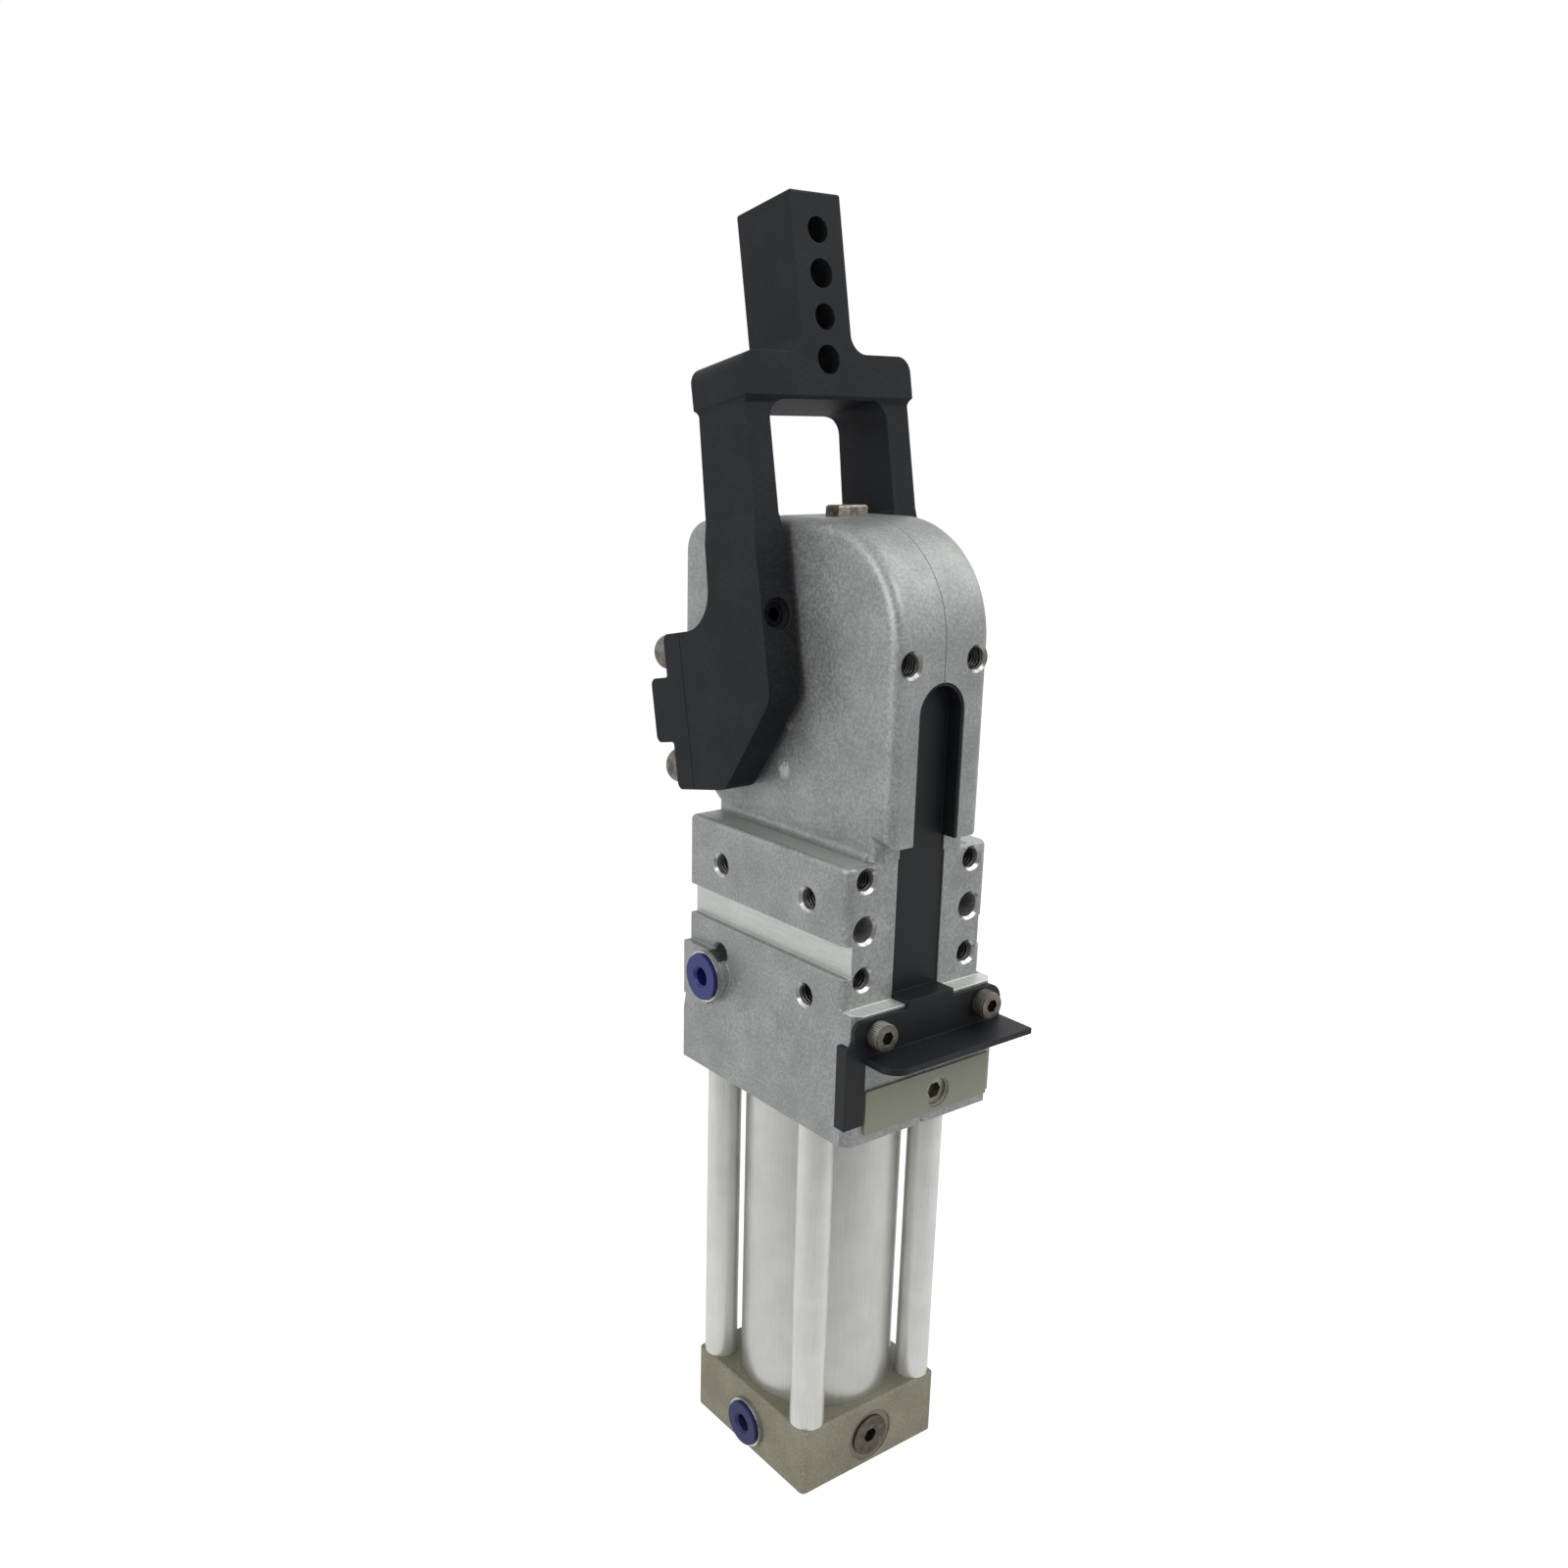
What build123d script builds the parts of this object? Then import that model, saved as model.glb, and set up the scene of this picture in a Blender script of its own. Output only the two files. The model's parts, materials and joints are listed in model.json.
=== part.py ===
from build123d import *
from math import atan2, cos, degrees, hypot, radians, sin, sqrt
import os

# All lengths are in millimetres and all angles in degrees.
# Z runs up the cylinder axis, the slot faces -Y and the workpiece is on +Y.

# Fits and clearances
running_fit = 0.03
close_fit = 0.05
side_play = 0.3
proud_gap = 0.5

# Rear cover, tube and tie rods
cover_height = 25.2
cover_corner = 2.0
cover_edge = 0.6
cover_spigot_height = 8.8
bore_diameter = 50.0
tube_wall = 2.5
tube_length = 116.3
tie_rod_diameter = 12.0
tie_rod_gap = 1.855
tie_stud_diameter = 8.0
tie_stud_length = 17.0
tie_screw_diameter = 6.0
tie_screw_head = 10.0
tie_screw_head_height = 6.0
tie_screw_grip = 12.0
spigot_length = 8.0
tube_seal_height = 2.5
tube_seal_depth = 2.0

# Ports and push-in fittings
port_thread = 9.8
front_port_thread = 8.6
port_depth = 13.0
channel_diameter = 4.0
cover_port_height = 11.5
front_port_across = 25.5
front_port_rise = 34.9
front_ring_diameter = 18.0
front_collar_diameter = 16.0
rear_ring_diameter = 17.5
rear_collar_diameter = 15.5
ring_height = 2.0
ring_recess = 1.5
collar_flange = 1.5
collar_proud = 1.2
collar_sleeve = 9.0
collar_sleeve_outer = 7.2
hose_bore = 6.1
collar_mouth = 0.9
plug_disc_diameter = 15.0
plug_disc_height = 1.1
plug_spotface = 19.6
plug_spotface_depth = 0.8
plug_length = 8.0
plug_socket = 5.0
plug_socket_depth = 3.5

# Body halves, heights above the tube end
shaft_rise = 126.5
body_overhang = 2.0
block_inset = 3.0
lower_front = 47.5
body_back = 39.5
lower_straight = 18.5
lower_slope_top = 36.5
ledge_rise = 43.6
block_front = 41.5
block_corner = 3.2
block_edge = 2.0
lower_corner = 2.7
head_half_width = 19.3
head_front = 47.0
head_work_face = 61.0
head_slope_start = 11.0
head_slope_drop = 4.3
dome_rounding = 36.0
dome_work_rounding = 10.5
head_root_across = 40.0
head_low_rounding = 15.0
head_edge = 4.0
root_fillet = 2.8
corner_relief_across = 28.8
corner_relief_front = 32.0
corner_relief_rise = 4.0
seam_notch_width = 1.6
seam_notch_height = 1.2
port_pad_top = 43.9
port_pad_bottom = 24.2

# Heights of the body's parts from the shaft axis, up or down
head_above_shaft = 64.0
cavity_above_shaft = 42.0
head_hole_above_shaft = 23.6
slot_above_shaft = 17.5
head_low_below_shaft = 20.0
head_front_below_shaft = 32.0
head_root_below_shaft = 34.5
cavity_low_below_shaft = 36.0
block_below_shaft = 37.0

# Mounting holes and key groove of the body
side_hole_diameter = 6.8
side_hole_depth = 15.0
side_hole_low_depth = 13.0
side_hole_across = 45.0
side_hole_up = 32.0
side_hole_below_top = 14.5
rail_hole_across = 45.0
rail_hole_pitch = 16.0
rail_hole_below_top = 5.0
rail_thread_diameter = 6.8
rail_dowel_diameter = 8.0
rail_hole_depth = 12.0
groove_height = 10.6
groove_depth = 2.5
head_hole_across = 27.0
head_hole_diameter = 7.0
head_hole_depth = 10.0
countersink = 0.9

# Slot, slot cover and switch cassette
slot_width = 20.0
head_slot_width = 19.0
strip_face = 41.0
strip_thickness = 1.5
cassette_width = 17.6
cassette_depth = 7.6
cassette_low_rise = 49.0
cover_gap = 0.2
lip_thickness = 0.8
lip_inset = 0.5
bar_inset = 1.0
bar_low_rise = 28.5
bar_rise = 42.6
bar_plate = 1.5
bar_corner_left = 3.0
bar_corner_right = 6.0
flange_reach = 14.7
flange_thickness = 2.0
flange_left = 27.7
flange_corner = 6.0
leg_width = 8.2
leg_low_rise = 7.5
leg_top_rise = 35.0
leg_return = 3.0
leg_wall = 2.0
cover_screw_across = 45.6
cover_screw_rise = 37.5
cover_screw_head = 8.5
cover_screw_head_height = 5.0
cover_screw_diameter = 5.0
cover_screw_grip = 9.0
cover_screw_socket = 4.0

# Nameplate and its plug
nameplate_left = 25.5
nameplate_right = 28.7
nameplate_low_rise = 3.2
nameplate_height = 14.8
nameplate_thickness = 0.8
nameplate_plug_across = 6.0
nameplate_plug_rise = 9.7
nameplate_plug_diameter = 9.6
nameplate_plug_ring = 10.4
nameplate_plug_sink = 0.8
nameplate_plug_depth = 10.0

# Output shaft and toggle
shaft_across = 37.0
shaft_diameter = 22.0
shaft_square = 16.0
shaft_reach = 30.0
shaft_round_reach = 21.0
bush_outer = 26.0
washer_outer = 32.0
key_side = 6.0
key_length = 18.0
lever_length = 32.0
lever_clamped_angle = 104.5
arm_opening_total = 90.0
arm_tilt = 10.7
lever_hub_radius = 17.0
lever_eye_radius = 8.5
lever_half_width = 10.0
link_half_width = 4.5
link_eye_radius = 8.0
lever_pin_diameter = 10.0
lever_web_reach = 22.5

# Knuckle, guide pins and guide shoes
knuckle_half_width = 9.8
knuckle_half_depth = 9.0
knuckle_below_pin = 27.0
fork_floor_below_pin = 11.5
guide_pin_diameter = 8.0
shoe_side = 12.0
shoe_thickness = 4.8
shoe_play = 0.1
open_knuckle_drop = 70.0

# Cavity of the body
cavity_front = 22.0
lane_half_depth = 11.5
lane_margin = 7.0
hub_cavity_radius = 18.5
shoe_travel_margin = 2.0
link_side_room = 1.0
rod_room = 1.0

# Piston, rod and rod guide
rod_diameter = 18.0
rod_end_diameter = 14.0
rod_end_length = 13.0
piston_end_gap = 0.7
piston_height = 22.0
piston_play = 0.3
piston_spigot = 12.0
piston_nut_across = 18.0
piston_nut_height = 6.0
piston_nut_recess = 7.0
piston_nut_room = 3.0
seal_depth = 3.2
piston_seal_height = 3.0
wear_ring_height = 5.0
piston_ring_inset = 3.0
guide_flange_step = 2.0
guide_flange_rise = 38.5
guide_bush_outer = 22.0
guide_bush_length = 22.0
rod_seal_outer = 25.0
rod_seal_height = 5.0
wiper_outer = 24.0
wiper_height = 3.5
bumper_inner = 26.0
bumper_inset = 6.0
bumper_height = 4.8
bumper_proud = 1.5

# Clamp arm, measured along and across the arm from the shaft centre
arm_bar_half_width = 10.0
arm_bar_front = 47.0
arm_bar_back = 20.5
arm_reach = 154.5
arm_bar_length = 48.5
arm_cross_height = 14.0
arm_cross_step = 1.0
arm_half_width = 34.5
arm_leg_thickness = 12.0
arm_neck_half_width = 33.6
arm_neck_thickness = 9.5
arm_neck_low = 52.0
arm_neck_slant = 6.0
arm_leg_front = 45.2
arm_leg_back_high = 21.8
arm_leg_back_low = 18.0
arm_hub_top = 25.4
arm_hub_bottom = 27.2
arm_hub_slant = 28.0
arm_hub_rounding = 8.0
arm_leg_rounding = 14.0
arm_outer_rounding = 5.0
arm_inner_rounding = 6.0
arm_bar_rounding = 6.0
arm_edge = 1.0
arm_outer_wall = 4.5
arm_hole_inset = 11.5
arm_hole_pitch = 13.0
arm_dowel_diameter = 8.0
arm_bolt_diameter = 9.0
set_screw_across = 28.2
set_screw_up = 27.2
set_screw_diameter = 8.0
set_screw_length = 10.0
set_screw_recess = 10.4
set_screw_recess_depth = 2.0
set_screw_socket = 4.0

# Arm caps and their screws
cap_split = 0.4
cap_ear = 9.5
cap_middle = 19.5
cap_middle_half = 11.0
cap_corner = 2.5
cap_screw_up = 19.5
cap_screw_diameter = 8.0
cap_screw_head = 12.0
cap_screw_head_height = 7.5
cap_screw_dome = 1.8
cap_screw_grip = 13.0
cap_screw_socket = 6.0
cap_screw_socket_depth = 3.5
screw_clearance = 0.25

# Screws and dowels joining the body halves: (across, up) from the shaft height or from the tube end
shaft_screw_places = [(-24.0, 48.0), (40.0, 51.0), (-26.5, -18.0), (33.0, -46.0)]
base_screw_places = [(33.0, 24.5), (-38.0, 24.5)]
shaft_dowel_places = [(18.0, 51.5)]
base_dowel_places = [(31.0, 46.5)]
body_screw_diameter = 6.0
body_screw_head = 10.0
body_screw_head_height = 6.0
body_screw_sink = 7.0
body_screw_reach = 14.0
body_screw_socket = 5.0
body_dowel_diameter = 6.0
body_dowel_reach = 8.0

# Release button and its spring
button_left = 7.5
button_right = 4.6
button_across = -2.4
button_proud = 3.4
button_travel = 3.5
button_stem = 4.0
button_flange = 4.0
spring_bore_depth = 12.0
spring_wire = 0.8
spring_play = 0.2
spring_turns = 5.0
stem_above_knuckle = 4.0

# Positions that follow from the sizes above
base = cover_height + tube_length
ledge = base + ledge_rise
shaft_z = base + shaft_rise
block_top = shaft_z - block_below_shaft
head_top = shaft_z + head_above_shaft
head_front_low = shaft_z - head_front_below_shaft
slot_top = shaft_z + slot_above_shaft
cavity_top = shaft_z + cavity_above_shaft
side_hole_high = block_top - side_hole_below_top
side_hole_low = side_hole_high - side_hole_up
tube_outer_radius = bore_diameter / 2 + tube_wall
rod_place = (tube_outer_radius + tie_rod_gap + tie_rod_diameter / 2) / sqrt(2)
cover_side = 2 * rod_place + tie_rod_diameter
lower_half_width = cover_side / 2 + body_overhang
block_half_width = lower_half_width - block_inset
bar_half_width = lower_half_width - bar_inset
guide_flange_diameter = bore_diameter + guide_flange_step
bumper_outer = bore_diameter - 2 * bumper_inset
arm_shoulder = arm_reach - arm_bar_length
arm_opening = arm_shoulder - arm_cross_height
hub_inner = arm_half_width - arm_leg_thickness
washer_thickness = hub_inner - head_half_width - side_play
cap_screw_x = arm_half_width - arm_leg_thickness / 2
spring_diameter = button_stem + 2 * spring_play + spring_wire
button_half_depth = (spring_diameter + spring_wire) / 2
spring_bore = 2 * (button_half_depth + side_play)
rest_angle = lever_clamped_angle + arm_opening_total - arm_tilt
link_length = shaft_across + lever_length * cos(radians(lever_clamped_angle))
pin_y = shaft_across + lever_length * cos(radians(rest_angle))
pin_z = shaft_z + lever_length * sin(radians(rest_angle))
knuckle_z = pin_z - sqrt(link_length ** 2 - pin_y ** 2)
clamped_z = shaft_z + lever_length * sin(radians(lever_clamped_angle))
open_z = clamped_z - open_knuckle_drop
lane_low = open_z - knuckle_below_pin - lane_margin
open_piston_low = cover_height + cover_spigot_height + bumper_height + piston_end_gap
piston_top = open_piston_low + piston_height + knuckle_z - open_z
body_screw_places = [(across, shaft_z + up) for across, up in shaft_screw_places]
body_screw_places += [(across, base + up) for across, up in base_screw_places]
body_dowel_places = [(across, shaft_z + up) for across, up in shaft_dowel_places]
body_dowel_places += [(across, base + up) for across, up in base_dowel_places]


# Shared shapes
def block(x_low, x_high, y_low, y_high, z_low, z_high):
    """Box between two opposite corners."""
    centre = Pos((x_low + x_high) / 2, (y_low + y_high) / 2, (z_low + z_high) / 2)
    return centre * Box(x_high - x_low, y_high - y_low, z_high - z_low)


def round_x(y, z, x_low, x_high, radius):
    """Cylinder along X between two stations."""
    return Pos((x_low + x_high) / 2, y, z) * Rot(0, 90, 0) * Cylinder(radius, x_high - x_low)


def round_y(x, z, y_low, y_high, radius):
    """Cylinder along Y between two stations."""
    return Pos(x, (y_low + y_high) / 2, z) * Rot(90, 0, 0) * Cylinder(radius, y_high - y_low)


def round_z(x, y, z_low, z_high, radius):
    """Cylinder along Z between two stations."""
    return Pos(x, y, (z_low + z_high) / 2) * Cylinder(radius, z_high - z_low)


def ring_z(z_low, z_high, inner, outer):
    """Ring around the Z axis."""
    return round_z(0, 0, z_low, z_high, outer) - round_z(0, 0, z_low, z_high, inner)


def outline(corners):
    """Flat face from (across, up, rounding) corners."""
    face = make_face(Polyline([(across, up) for across, up, rounding in corners], close=True))
    for across, up, rounding in corners:
        if rounding > 0:
            face = fillet(face.vertices().sort_by_distance((across, up, 0))[0], rounding)
    return face


def along_x(face, x_low, x_high):
    """Extrude a (Y, Z) face along X."""
    return extrude(Plane.YZ.offset(x_low) * face, x_high - x_low, dir=(1, 0, 0))


def along_y(face, y_low, y_high):
    """Extrude an (X, Z) face along Y."""
    return extrude(Plane.XZ.offset(-y_low) * face, y_high - y_low, dir=(0, 1, 0))


def mirrored_x(shape):
    """The shape together with its mirror image across X = 0."""
    return shape + mirror(shape, Plane.YZ)


def hex_prism(across_flats, height):
    """Hexagonal prism standing on the XY plane."""
    return extrude(RegularPolygon(across_flats / 2, 6, major_radius=False), height)


def tapped_hole(diameter, depth):
    """Hole running down from z = 0, with a countersink round its mouth."""
    radius = diameter / 2
    mouth = Pos(0, 0, -countersink / 2) * Cone(radius, radius + countersink, countersink)
    return round_z(0, 0, -depth, 0, radius) + mouth


def socket_screw(diameter, grip, head_diameter, head_height, socket, socket_depth):
    """Screw along Z: the head stands on z = 0 and the shank hangs below it."""
    head = round_z(0, 0, 0, head_height, head_diameter / 2)
    shank = round_z(0, 0, -grip, 0, diameter / 2)
    recess = Pos(0, 0, head_height - socket_depth) * hex_prism(socket, socket_depth)
    return head + shank - recess


def export(shape, name):
    """Write one node as a STEP file."""
    if isinstance(shape, list):
        shape = Compound(children=shape)
    shape.label = name
    export_step(shape, os.path.join("parts", name + ".step"))


# Rear cover, tube and tie rods
def rear_cover():
    """Square rear cover with a spigot, two ports and four screw holes."""
    half = cover_side / 2
    plate = block(-half, half, -half, half, 0, cover_height)
    plate = fillet(plate.edges().filter_by(Axis.Z), cover_corner)
    plate = chamfer(plate.faces().filter_by(Axis.Z).edges(), cover_edge)
    spigot_radius = bore_diameter / 2 - close_fit
    body = plate + round_z(0, 0, cover_height, cover_height + cover_spigot_height, spigot_radius)
    groove_low = cover_height + tube_seal_height
    groove_high = groove_low + tube_seal_height
    groove = ring_z(groove_low, groove_high, spigot_radius - tube_seal_depth, bore_diameter / 2)
    port = round_x(0, cover_port_height, -half, port_depth - half, port_thread / 2)
    crossing = round_x(0, cover_port_height, -half, -rear_channel_across(), channel_diameter / 2)
    rise = round_z(-rear_channel_across(), 0, cover_port_height, base, channel_diameter / 2)
    plug_port = round_y(0, cover_port_height, -half, port_depth - half, port_thread / 2)
    plug_ring = round_y(0, cover_port_height, -half, plug_spotface_depth - half, plug_spotface / 2)
    body = body - groove - port - crossing - rise - plug_port - plug_ring
    for x in (-rod_place, rod_place):
        for y in (-rod_place, rod_place):
            body -= round_z(x, y, 0, cover_height, tie_screw_diameter / 2 + screw_clearance)
            sink = tie_screw_head_height + proud_gap
            body -= round_z(x, y, 0, sink, tie_screw_head / 2 + screw_clearance)
    return body


def rear_channel_across():
    """Distance of the rising air channel from the cylinder axis."""
    return bore_diameter / 2 - port_depth - channel_diameter


def cylinder_tube():
    """Round tube between the rear cover and the body."""
    return ring_z(cover_height, base, bore_diameter / 2, tube_outer_radius)


def tie_rods():
    """Four rods, each with a stud into the body and a tapped lower end."""
    rods = []
    for x in (-rod_place, rod_place):
        for y in (-rod_place, rod_place):
            rod = round_z(x, y, cover_height, base, tie_rod_diameter / 2)
            rod += round_z(x, y, base, base + tie_stud_length, tie_stud_diameter / 2)
            rod -= round_z(x, y, cover_height, cover_height + tie_screw_grip, tie_screw_diameter / 2)
            rods.append(rod)
    return rods


def tie_rod_screws():
    """Four screws from below into the tie rods."""
    grip = cover_height - tie_screw_head_height - proud_gap + tie_screw_grip - proud_gap
    screw = socket_screw(
        tie_screw_diameter, grip, tie_screw_head, tie_screw_head_height, plug_socket, plug_socket_depth
    )
    screws = []
    for x in (-rod_place, rod_place):
        for y in (-rod_place, rod_place):
            screws.append(Pos(x, y, tie_screw_head_height + proud_gap) * Rot(180, 0, 0) * screw)
    return screws


def tube_seals():
    """Seal rings on the rear spigot and on the rod guide spigot."""
    outer = bore_diameter / 2
    inner = outer - close_fit - tube_seal_depth
    low = cover_height + tube_seal_height
    high = base - 2 * tube_seal_height
    return [
        ring_z(low, low + tube_seal_height, inner, outer),
        ring_z(high, high + tube_seal_height, inner, outer),
    ]


def end_bumpers():
    """Soft rings that the piston meets at both ends."""
    low = cover_height + cover_spigot_height
    high = base - spigot_length - bumper_proud
    return [
        ring_z(low, low + bumper_height, bumper_inner / 2, bumper_outer / 2),
        ring_z(high, high + bumper_height, bumper_inner / 2, bumper_outer / 2),
    ]


# Ports
def port_fitting(thread, ring_diameter, collar_diameter):
    """Push-in fitting with its mouth towards -X and its seat at x = 0."""
    ring = round_x(0, 0, -ring_height, 0, ring_diameter / 2)
    shank = round_x(0, 0, 0, port_depth - proud_gap, thread / 2)
    recess = round_x(0, 0, -ring_height, ring_recess - ring_height, collar_diameter / 2 + side_play)
    guide = round_x(0, 0, -ring_height, collar_sleeve, collar_sleeve_outer / 2 + side_play)
    passage = round_x(0, 0, 0, port_depth, channel_diameter / 2)
    return ring + shank - recess - guide - passage


def port_collar(collar_diameter):
    """Release collar of a push-in fitting, standing proud of the ring."""
    outer_end = -ring_height - collar_proud
    flange = round_x(0, 0, outer_end, outer_end + collar_flange, collar_diameter / 2)
    sleeve = round_x(0, 0, outer_end, outer_end + collar_sleeve, collar_sleeve_outer / 2)
    hose = round_x(0, 0, outer_end, outer_end + collar_sleeve, hose_bore / 2)
    collar = flange + sleeve - hose
    mouth = collar.edges().filter_by(GeomType.CIRCLE).sort_by(Axis.X)
    rim = mouth.filter_by_position(Axis.X, outer_end - close_fit, outer_end + close_fit)
    return chamfer(rim.sort_by(SortBy.RADIUS)[0], collar_mouth)


def port_plug():
    """Disc plug of the unused rear port, facing -Y."""
    seat = -cover_side / 2 + plug_spotface_depth
    disc = round_y(0, cover_port_height, seat - plug_disc_height, seat, plug_disc_diameter / 2)
    shank = round_y(0, cover_port_height, seat, seat + plug_length, port_thread / 2)
    socket = Pos(0, seat - plug_disc_height, cover_port_height) * Rot(-90, 0, 0)
    return disc + shank - socket * hex_prism(plug_socket, plug_socket_depth)


# Body halves
def head_shape():
    """Domed head around the output shaft, as wide as the two halves there."""
    slope_end = head_top - head_slope_drop
    corners = [
        (-block_front, ledge, 0),
        (-block_front, head_front_low, 0),
        (-head_front, head_front_low, 0),
        (-head_front, head_top, dome_rounding),
        (head_slope_start, head_top, 0),
        (head_work_face, slope_end, dome_work_rounding),
        (head_work_face, shaft_z - head_low_below_shaft, head_low_rounding),
        (head_root_across, shaft_z - head_root_below_shaft, 0),
        (body_back, ledge, 0),
    ]
    head = along_x(outline(corners), -head_half_width, head_half_width)
    return fillet(head.faces().filter_by(Axis.X).edges(), head_edge)


def root_fillets():
    """Concave roundings between the head sides and the block top."""
    strip = block(
        head_half_width,
        head_half_width + root_fillet,
        head_edge - block_front,
        body_back - head_edge,
        block_top - root_fillet,
        block_top + root_fillet,
    )
    strip -= round_y(
        head_half_width + root_fillet,
        block_top + root_fillet,
        -head_front,
        head_front,
        root_fillet,
    )
    return mirrored_x(strip)


def body_shape():
    """Outer shape of both body halves in one."""
    wide = lower_half_width
    narrow = block_half_width
    slope = base + lower_straight
    slope_end = base + lower_slope_top
    right = [(wide, base, 0), (wide, slope, 0), (narrow, slope_end, 0), (narrow, ledge, 0)]
    left = [(-across, up, rounding) for across, up, rounding in reversed(right)]
    lower = along_y(outline(right + left), -lower_front, body_back)
    front_edges = lower.edges().filter_by(lambda edge: abs(edge.center().Y + lower_front) < close_fit)
    side_edges = front_edges.filter_by(lambda edge: abs(edge.center().X) > narrow - close_fit)
    lower = chamfer(side_edges, lower_corner)
    upper = block(-narrow, narrow, -block_front, body_back, slope_end, block_top)
    front_corners = upper.edges().filter_by(Axis.Z).filter_by(lambda edge: edge.center().Y < 0)
    upper = fillet(front_corners, block_corner)
    upper = fillet(upper.faces().sort_by(Axis.Z)[-1].edges(), block_edge)
    return lower + upper + head_shape() + root_fillets()


def slot_cuts():
    """Slot for the cover strip and the pocket of the switch cassette behind it."""
    half = slot_width / 2
    head_half = head_slot_width / 2
    floor = -strip_face + strip_thickness
    top = slot_top - head_half
    cuts = block(-half, half, -head_front, floor, ledge, block_top)
    cuts += block(-head_half, head_half, -head_front, floor, ledge, top)
    cuts += round_y(0, top, -head_front, floor, head_half)
    pocket_half = cassette_width / 2 + cover_gap
    pocket_back = floor + cassette_depth + cover_gap
    cuts += block(-pocket_half, pocket_half, floor, pocket_back, base + cassette_low_rise - cover_gap, top)
    return cuts


def cavity_cuts():
    """Room for the lever, link, knuckle, guide shoes, rod guide and shaft bushes."""
    half = lever_half_width + side_play
    lane = lane_half_depth
    centre = shaft_z
    eye_room = shaft_across + side_play * lever_half_width
    cuts = block(-half, half, -lane, lane, lane_low, cavity_top)
    low = centre - cavity_low_below_shaft
    cuts += block(-half, half, -cavity_front, lever_hub_radius, low, centre)
    cuts += block(-half, half, -cavity_front, eye_room, centre, cavity_top)
    cuts += block(-half, half, -cavity_front, shaft_across, centre - hub_cavity_radius, centre)
    lever_room = hub_cavity_radius - lever_hub_radius
    sweep_end = bar_outline(lever_length, hub_cavity_radius, lever_eye_radius + lever_room)
    turned = Rot(lever_clamped_angle, 0, 0) * along_x(sweep_end, -half, half)
    cuts += Pos(0, shaft_across, centre) * turned
    cuts += round_x(shaft_across, centre, -head_half_width, head_half_width, bush_outer / 2 + close_fit)
    link_half = link_half_width + link_side_room
    link_room = link_eye_radius * 2 + proud_gap
    link_low = open_z - link_eye_radius - shoe_travel_margin
    cuts += block(-link_half, link_half, -lane, link_room, link_low, centre)
    groove_half = half + shoe_thickness + side_play
    shoe_half = shoe_side / 2
    shoe_low = open_z - shoe_half - shoe_travel_margin
    shoe_high = clamped_z + shoe_half + shoe_travel_margin
    deep = shoe_half + shoe_play
    cuts += block(-groove_half, groove_half, -deep, deep, shoe_low, shoe_high)
    flange_radius = guide_flange_diameter / 2 + close_fit
    cuts += round_z(0, 0, base, base + guide_flange_rise, flange_radius)
    cuts += round_z(0, 0, base, lane_low, rod_diameter / 2 + rod_room)
    return cuts


def hole_cuts():
    """Mounting holes, key grooves and stud holes of the body."""
    cuts = Part()
    side = block_half_width
    for z, depth in ((side_hole_low, side_hole_low_depth), (side_hole_high, side_hole_depth)):
        side_hole = tapped_hole(side_hole_diameter, depth)
        for y in (-side_hole_across / 2, side_hole_across / 2):
            cuts += Pos(side, y, z) * Rot(0, 90, 0) * side_hole
            cuts += Pos(-side, y, z) * Rot(0, -90, 0) * side_hole
    for x in (-rail_hole_across / 2, rail_hole_across / 2):
        for step in range(3):
            z = block_top - rail_hole_below_top - step * rail_hole_pitch
            wide = rail_dowel_diameter if step == 1 else rail_thread_diameter
            cuts += Pos(x, -block_front, z) * Rot(90, 0, 0) * tapped_hole(wide, rail_hole_depth)
    head_hole = tapped_hole(head_hole_diameter, head_hole_depth)
    for x in (-head_hole_across / 2, head_hole_across / 2):
        cuts += Pos(x, -head_front, shaft_z + head_hole_above_shaft) * Rot(90, 0, 0) * head_hole
    for x in (-cover_screw_across / 2, cover_screw_across / 2):
        reach = cover_screw_grip - lower_front
        cuts += round_y(x, base + cover_screw_rise, -lower_front, reach, cover_screw_diameter / 2)
    low = (side_hole_low + side_hole_high - groove_height) / 2
    for x in (groove_depth - side, side):
        cuts += block(x - groove_depth, x, -block_front, body_back, low, low + groove_height)
    for x in (-rod_place, rod_place):
        for y in (-rod_place, rod_place):
            stud = tie_stud_diameter / 2 + close_fit
            cuts += round_z(x, y, base, base + tie_stud_length + proud_gap, stud)
    plug_end = nameplate_plug_depth - lower_front + proud_gap
    plug_z = base + nameplate_plug_rise
    cuts += round_y(nameplate_plug_across, plug_z, -lower_front, plug_end, nameplate_plug_diameter / 2)
    return cuts


def button_cuts():
    """Pocket, spring bore and stem hole of the release button."""
    floor = head_top - button_flange
    left = -button_left - side_play
    right = button_right + side_play
    depth = button_half_depth + side_play
    y = button_across
    cuts = block(left, right, y - depth, y + depth, floor, head_top)
    cuts += round_z(0, y, floor - spring_bore_depth, floor, spring_bore / 2)
    cuts += round_z(0, y, cavity_top, floor, button_stem / 2 + close_fit)
    return cuts


def body_casting():
    """Both body halves in one, with the cuts they share."""
    body = body_shape() - slot_cuts() - cavity_cuts() - hole_cuts() - button_cuts()
    half = seam_notch_width / 2
    body -= block(-half, half, -lower_front, seam_notch_width - lower_front, base, base + seam_notch_height)
    for across, up in body_screw_places:
        body -= round_x(across, up, -body_screw_reach, lower_half_width, body_screw_diameter / 2)
        sink_radius = body_screw_head / 2 + screw_clearance
        body -= round_x(across, up, screw_seat(up), lower_half_width, sink_radius)
    for across, up in body_dowel_places:
        reach = body_dowel_reach + proud_gap
        body -= round_x(across, up, -reach, reach, body_dowel_diameter / 2)
    return body


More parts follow.
